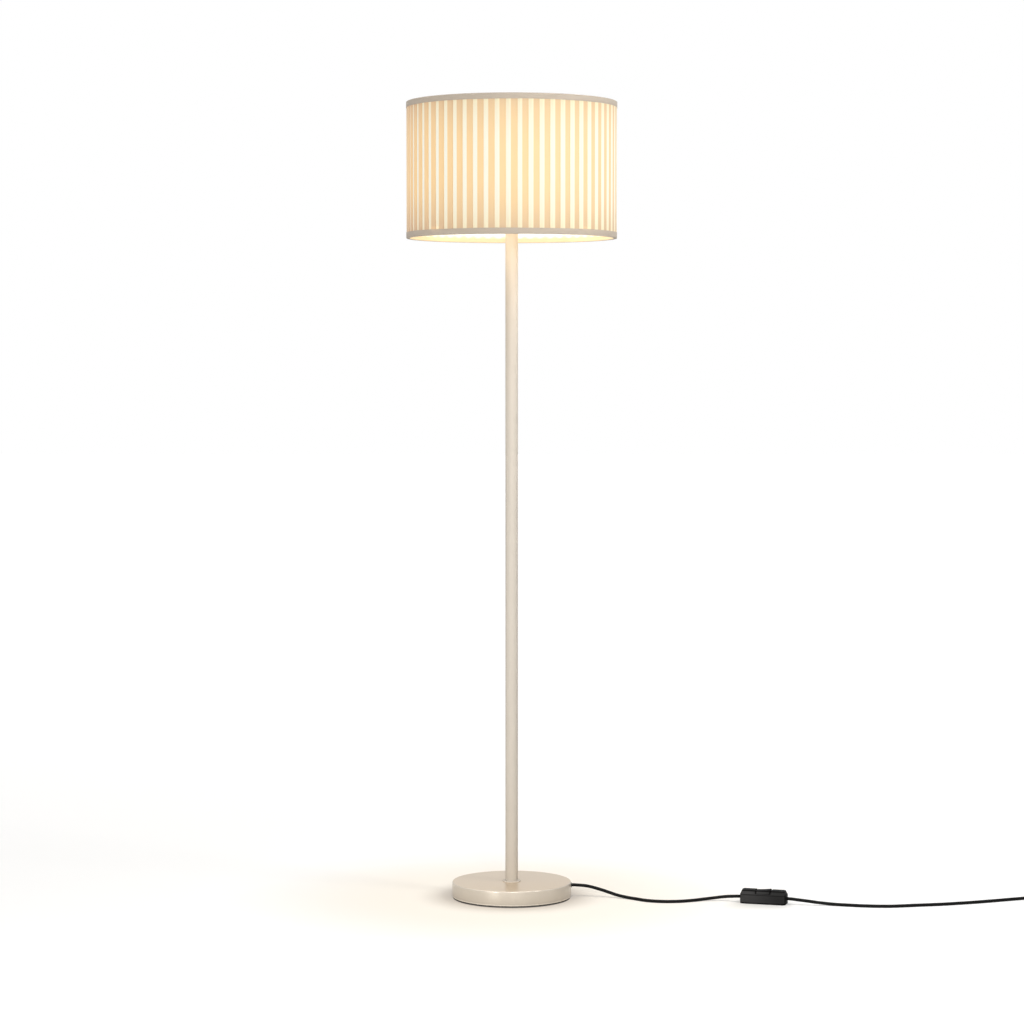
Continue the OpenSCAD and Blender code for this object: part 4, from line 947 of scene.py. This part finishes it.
def rim_tape(name, edge, direction, node):
    """Tape folded over a rim: outer face, round fold, inner face, with its own thickness. Its edge
    wavers by a tenth of a millimetre. The uv map holds the share of a turn and the way across."""
    outline = fillet([(r, h, rounding * MM) for r, h, rounding in (
        (SHADE_R, TAPE_H, 0.15), (SHADE_R, 0, 0.9), (TAPE_IN, 0, 0.9), (TAPE_IN, TAPE_IN_H, 0.15),
        (TAPE_IN + TAPE_T, TAPE_IN_H, 0.15), (TAPE_IN + TAPE_T, TAPE_T, 0.4),
        (SHADE_R - TAPE_T, TAPE_T, 0.4), (SHADE_R - TAPE_T, TAPE_H, 0.15))])
    angle = bearings(320)
    waver = 0.12 * MM * (np.sin(7 * angle + edge) + np.sin(23 * angle) * 0.6)
    height = outline[:, 1:] + np.where(outline[:, 1:] > TAPE_IN_H * 0.9, 1, 0) * waver
    grid = about_pole(outline[:, :1], edge + direction * height, angle)
    across = way_along(np.vstack([outline, outline[:1]]))
    uv = np.stack(np.meshgrid(np.linspace(0, 1, len(angle) + 1), across), -1)
    return ride(skin(name, grid, along=True, uv=uv), "shade", "rim_tape", node)


lower_rim = rim_tape("lower_rim_tape", SHADE_LOW, 1, "lower_tape")
upper_rim = rim_tape("upper_rim_tape", SHADE_TOP, -1, "upper_tape")
print("shade", round(2 * SHADE_R, 3), "m across and", round(SHADE_TOP - SHADE_LOW, 3), "m high")

# %% The fitter
FITTER_T = 1.5 * MM
FITTER_Z, FITTER_IN, FITTER_R = RING_LOW - 0.3 * MM - FITTER_T / 2, 20.3 * MM, 27.8 * MM
fitter_profile = fillet([
    (r, FITTER_Z + side * FITTER_T / 2, 0.3 * MM)
    for r, side in ((FITTER_IN, -1), (FITTER_R, -1), (FITTER_R, 1), (FITTER_IN, 1))], 2)
fitter_ring = ride(turned("fitter_ring", fitter_profile), "shade", "steel", "fitter_spider")
wire_reach, wire_low, wire_top = round_size("lower_wire_ring")
arm_z = np.linspace(FITTER_Z, (wire_low + wire_top) / 2, 9)
arm_r = np.linspace(25.0 * MM, wire_reach - WIRE / 2 - 1.6 * MM, 9)
for k in range(3):
    arm_line = about_pole(arm_r, arm_z, np.radians(90 + 120 * k))
    dress(zinc, ride(tube(f"fitter_arm_{k + 1}", arm_line, 1.4 * MM), "shade", "steel"))
dress(zinc, fitter_ring)
print("fitter arms reach", round(float(arm_r[-1]), 3), "m")

# %% [markdown]
# ## Cloth that lets light through
# The cloth's own colour is a plain ivory. The light that comes through it is written as emission,
# since that survives in any renderer: the single layers, read from the place along the strip, are
# nearly white, and the folded ones amber in the middle of the drum and browner towards the rims.

# %% Cloth, tape and lining finishes
woven = Finish("pleated_ivory_cloth", Roughness=0.82, Emission_Strength=1.0, Sheen_Weight=0.12)
along_strip, up_cloth, _ = woven.parts(woven.surface())
edge = ((up_cloth / CLOTH_H * 2 - 1) ** 2) ** 1.3
folded = woven.spread(along_strip, 1 - OVERLAP - 0.03, 1 - OVERLAP + 0.06, 0, 1)
near_fold = woven.spread(along_strip, 0.80, 1.0, 0, 1)
shadow = woven.spread(along_strip, 0.0, 0.10, 1, 0)
patch = woven.noise(woven.place(), 14, 2)
amber = woven.between(near_fold, (0.485, 0.27, 0.11), (0.455, 0.25, 0.10))
rim_tan = woven.between(near_fold, (0.235, 0.095, 0.064), (0.215, 0.083, 0.058))
low_shade = woven.spread(up_cloth, 0, 0.45 * CLOTH_H, 0.26, 0)
folded_light = woven.between(edge + low_shade + (patch - 0.5) * 0.4, amber, rim_tan)
single_light = woven.between(edge, (0.48, 0.53, 0.55), (0.41, 0.355, 0.235))
lit = woven.between(folded, woven.between(shadow * 0.35, single_light, amber), folded_light)
THREAD = 0.9 * MM
threads = woven.wave(along_strip, THREAD / (STEP * SHADE_R)) * 0.5 + woven.wave(up_cloth, THREAD) * 0.5
woven.feed(
    Base_Color=woven.between(patch * 0.5 + threads * 0.5, (0.355, 0.30, 0.18), (0.41, 0.35, 0.215)),
    Emission_Color=lit,
    Normal=woven.bump(threads, 0.1 * MM, 0.5),
)
dress(woven, cloth)

ribbed = Finish("ribbed_rim_tape", Roughness=0.8, Sheen_Weight=0.1, Emission_Strength=1.0)
_, across_tape, _ = ribbed.parts(ribbed.surface())
ribs = ribbed.wave(across_tape, 1.6 * MM)
mottle = ribbed.noise(ribbed.stretch(ribbed.place(), (1, 1, 12)), 40, 3)
# Painted glow of the bulb's light on the inner face of each tape, and a faint one outside.
inside_start = ribbed.spread(across_tape, 16.0 * MM, 19.5 * MM, 0, 1)
painted_inner_glow = inside_start * ribbed.spread(across_tape, 26.2 * MM, 26.8 * MM, 1, 0)
ribbed.feed(
    Base_Color=ribbed.between(ribs * 0.55 + mottle * 0.45, (0.322, 0.27, 0.213), (0.43, 0.373, 0.312)),
    Emission_Color=ribbed.between(painted_inner_glow, (0.02, 0.015, 0.01), (0.74, 0.53, 0.25)),
    Normal=ribbed.bump(ribs, 0.15 * MM, 0.6),
)
dress(ribbed, lower_rim, upper_rim)

film = Finish("lining_film", Roughness=0.55, Emission_Strength=1.0)
# The lining's emission is painted glow of the bulb's light on its inner face: brightest just above the lower
# rim, dimmer higher up.
x, y, height = film.parts(film.place())
speckle = film.noise(film.stretch(film.place(), (1, 1, 0.35)), 60, 2)
# Painted shade of the pleats, one stripe to each pleat, over a speckle.
painted_pleat_shade = film.wave(film.maths("ARCTAN2", y, x), STEP) * 0.55 + speckle * 0.45
glow = film.spread(height, SHADE_LOW + 0.006, SHADE_LOW + 0.018, 0, 1) * 1.1 + (painted_pleat_shade - 0.5) * 0.9
higher = film.spread(height, SHADE_LOW + 0.045, SHADE_LOW + 0.12, 0, 1)
near_rim = film.between(glow, (0.72, 0.62, 0.32), (1.0, 0.99, 0.92))
film.feed(
    Base_Color=film.between(speckle, (0.36, 0.34, 0.30), (0.42, 0.40, 0.36)),
    Emission_Color=film.between(higher, near_rim, (0.58, 0.49, 0.34)),
)
dress(film, lining)
print(len(bpy.data.materials), "materials")

# %% [markdown]
# ## The room
# A pale floor runs out to a white background. Camera, mirror and glass rays see both as white. The
# floor is built like a finish: it keeps the lamp's shadows, and beside them it has a painted cream pool
# of its light, a painted contact shadow round the base with a darker painted line right under it,
# and a painted soft shadow in front of the switch.

# %% Floor and background
# Radii of the painted pool of light, the painted contact shadow and the painted contact line, in metres.
POOL, CONTACT_SHADE_RADII, CONTACT_LINE_RADII, CONTACT_LINE_AHEAD = (0.2, 0.6), (0.112, 0.215), (0.1098, 0.1134), 0.009
FADE_FROM, FALL, DIP, LIFT = (-1.0, -1.3), 0.0385, 0.776, 0.885
SHADE_LONG, SHADE_DEEP, SWITCH_FRONT = 0.08, 0.085, -0.0165


def square(value):
    """A value times itself."""
    return value * value


def stage_floor():
    """Wide plane that takes the shadows. Its painted tints fade over a range of radii in metres: the
    cream of the painted pool of light, a painted contact shadow of a darker tan near the base, and a
    darker painted contact line right under it that is set forward. An emission that only the camera
    and reflections see lifts it to white. Its share is LIFT less DIP / (1 + FALL distance^2)^2, with the
    distance from the light at the front left, and it is less in the painted contact line and in a rounded
    painted shadow in front of the switch."""
    size = 14
    corners = [(-size, -size, 0), (size, -size, 0), (size, size * 2, 0), (-size, size * 2, 0)]
    mesh = bpy.data.meshes.new("floor")
    mesh.from_pydata(corners, [], [(0, 1, 2, 3)])
    floor = bpy.data.objects.new("floor", mesh)
    bpy.context.scene.collection.objects.link(floor)
    finish = Finish("pale_floor", Roughness=1.0, Specular_IOR_Level=0.0, Emission_Strength=1.0)
    x, y, _ = finish.parts(finish.place())
    away = (square(x) + square(y)) ** 0.5
    # Painted pool of light and painted contact shadow round the base, with a darker painted line under it.
    pool, painted_contact_shade = finish.spread(away, *POOL, 1, 0), finish.spread(away, *CONTACT_SHADE_RADII, 1, 0)
    painted_contact_line = finish.spread((square(x) + square(y + CONTACT_LINE_AHEAD)) ** 0.5, *CONTACT_LINE_RADII, 1, 0)
    from_light = square(x - FADE_FROM[0]) + square(y - FADE_FROM[1])
    fade = LIFT - DIP / square(from_light * FALL + 1)
    # Painted soft shadow in front of the switch.
    along, behind = along_switch(x, y)
    length, depth = along * (1 / SHADE_LONG), (behind - SWITCH_FRONT) * (1 / SHADE_DEEP)
    from_switch = (square(square(length)) + square(depth)) ** 0.5
    in_front = finish.spread(behind, SWITCH_FRONT, 0.01, 1, 0)
    painted_switch_shade = finish.spread(from_switch, -0.35, 1, 0.42, 0) * in_front
    lift = finish.between(fade - painted_contact_line * 0.4 - painted_switch_shade, (0, 0, 0), (1, 1, 1))
    cream = finish.between(pool, (0.80, 0.80, 0.80), (0.74, 0.685, 0.60))
    shaded_near_base = finish.between(square(painted_contact_shade), cream, (0.40, 0.345, 0.28))
    finish.feed(Base_Color=finish.between(painted_contact_line, shaded_near_base, (0.16, 0.15, 0.145)),
                Emission_Color=finish.between(finish.seen(), (0, 0, 0), lift))
    mesh.materials.append(finish.material)


stage_floor()
world = bpy.data.worlds.new("studio")
bpy.context.scene.world = world
sky = Sheet(world)
background = sky.node("ShaderNodeBackground", inputs={
    "Color": (1, 1, 1, 1), "Strength": sky.seen() * 0.8 + 0.2})
sky_output = sky.tree.nodes.new("ShaderNodeOutputWorld")
sky.tree.links.new(background.socket, sky_output.inputs[0])
print("the pool of light ends", POOL[1], "m from the pole")

# %% [markdown]
# ## The lamps of the studio
# A wide lamp overhead and one behind the camera give plain light, a low one puts the highlight on
# the base's side, and one at the right models the shade. A small warm lamp stands in for the light
# that leaves the shade downwards, since a glowing finish alone would light the base too weakly.


# %% Lamps
def soft_lamp(name, place, aim, width, height, power, colour=(1.0, 0.99, 0.97)):
    """Area lamp of the given size and power, in metres and watts, that looks at a point."""
    lamp = bpy.data.lights.new(name, "AREA")
    lamp.shape, lamp.size, lamp.size_y, lamp.energy, lamp.color = "RECTANGLE", width, height, power, colour
    holder = bpy.data.objects.new(name, lamp)
    holder.location = place
    holder.rotation_euler = (Vector(aim) - Vector(place)).to_track_quat("-Z", "Y").to_euler()
    bpy.context.scene.collection.objects.link(holder)


soft_lamp("front", (0.45, -5.8, 1.6), (0, 0, 0.7), 1.2, 1.2, 112)
soft_lamp("low_left", (-1.15, -1.75, 0.3), (0, 0, 0.1), 0.22, 0.4, 12)
soft_lamp("high_right", (1.25, -0.7, 1.65), (0, 0, 1.35), 0.4, 0.6, 14, (1.0, 0.99, 0.98))
soft_lamp("top", (-0.7, -0.8, 3.7), (0, 0, 0), 5.0, 5.0, 130)
soft_lamp("shade_mouth", (0, 0, 1.275), (0, 0.0001, 0), 0.3, 0.3, 0.43, (1.0, 0.68, 0.32))
print(len(bpy.data.lights), "lamps")
bpy.context.scene.view_settings.view_transform = "Standard"
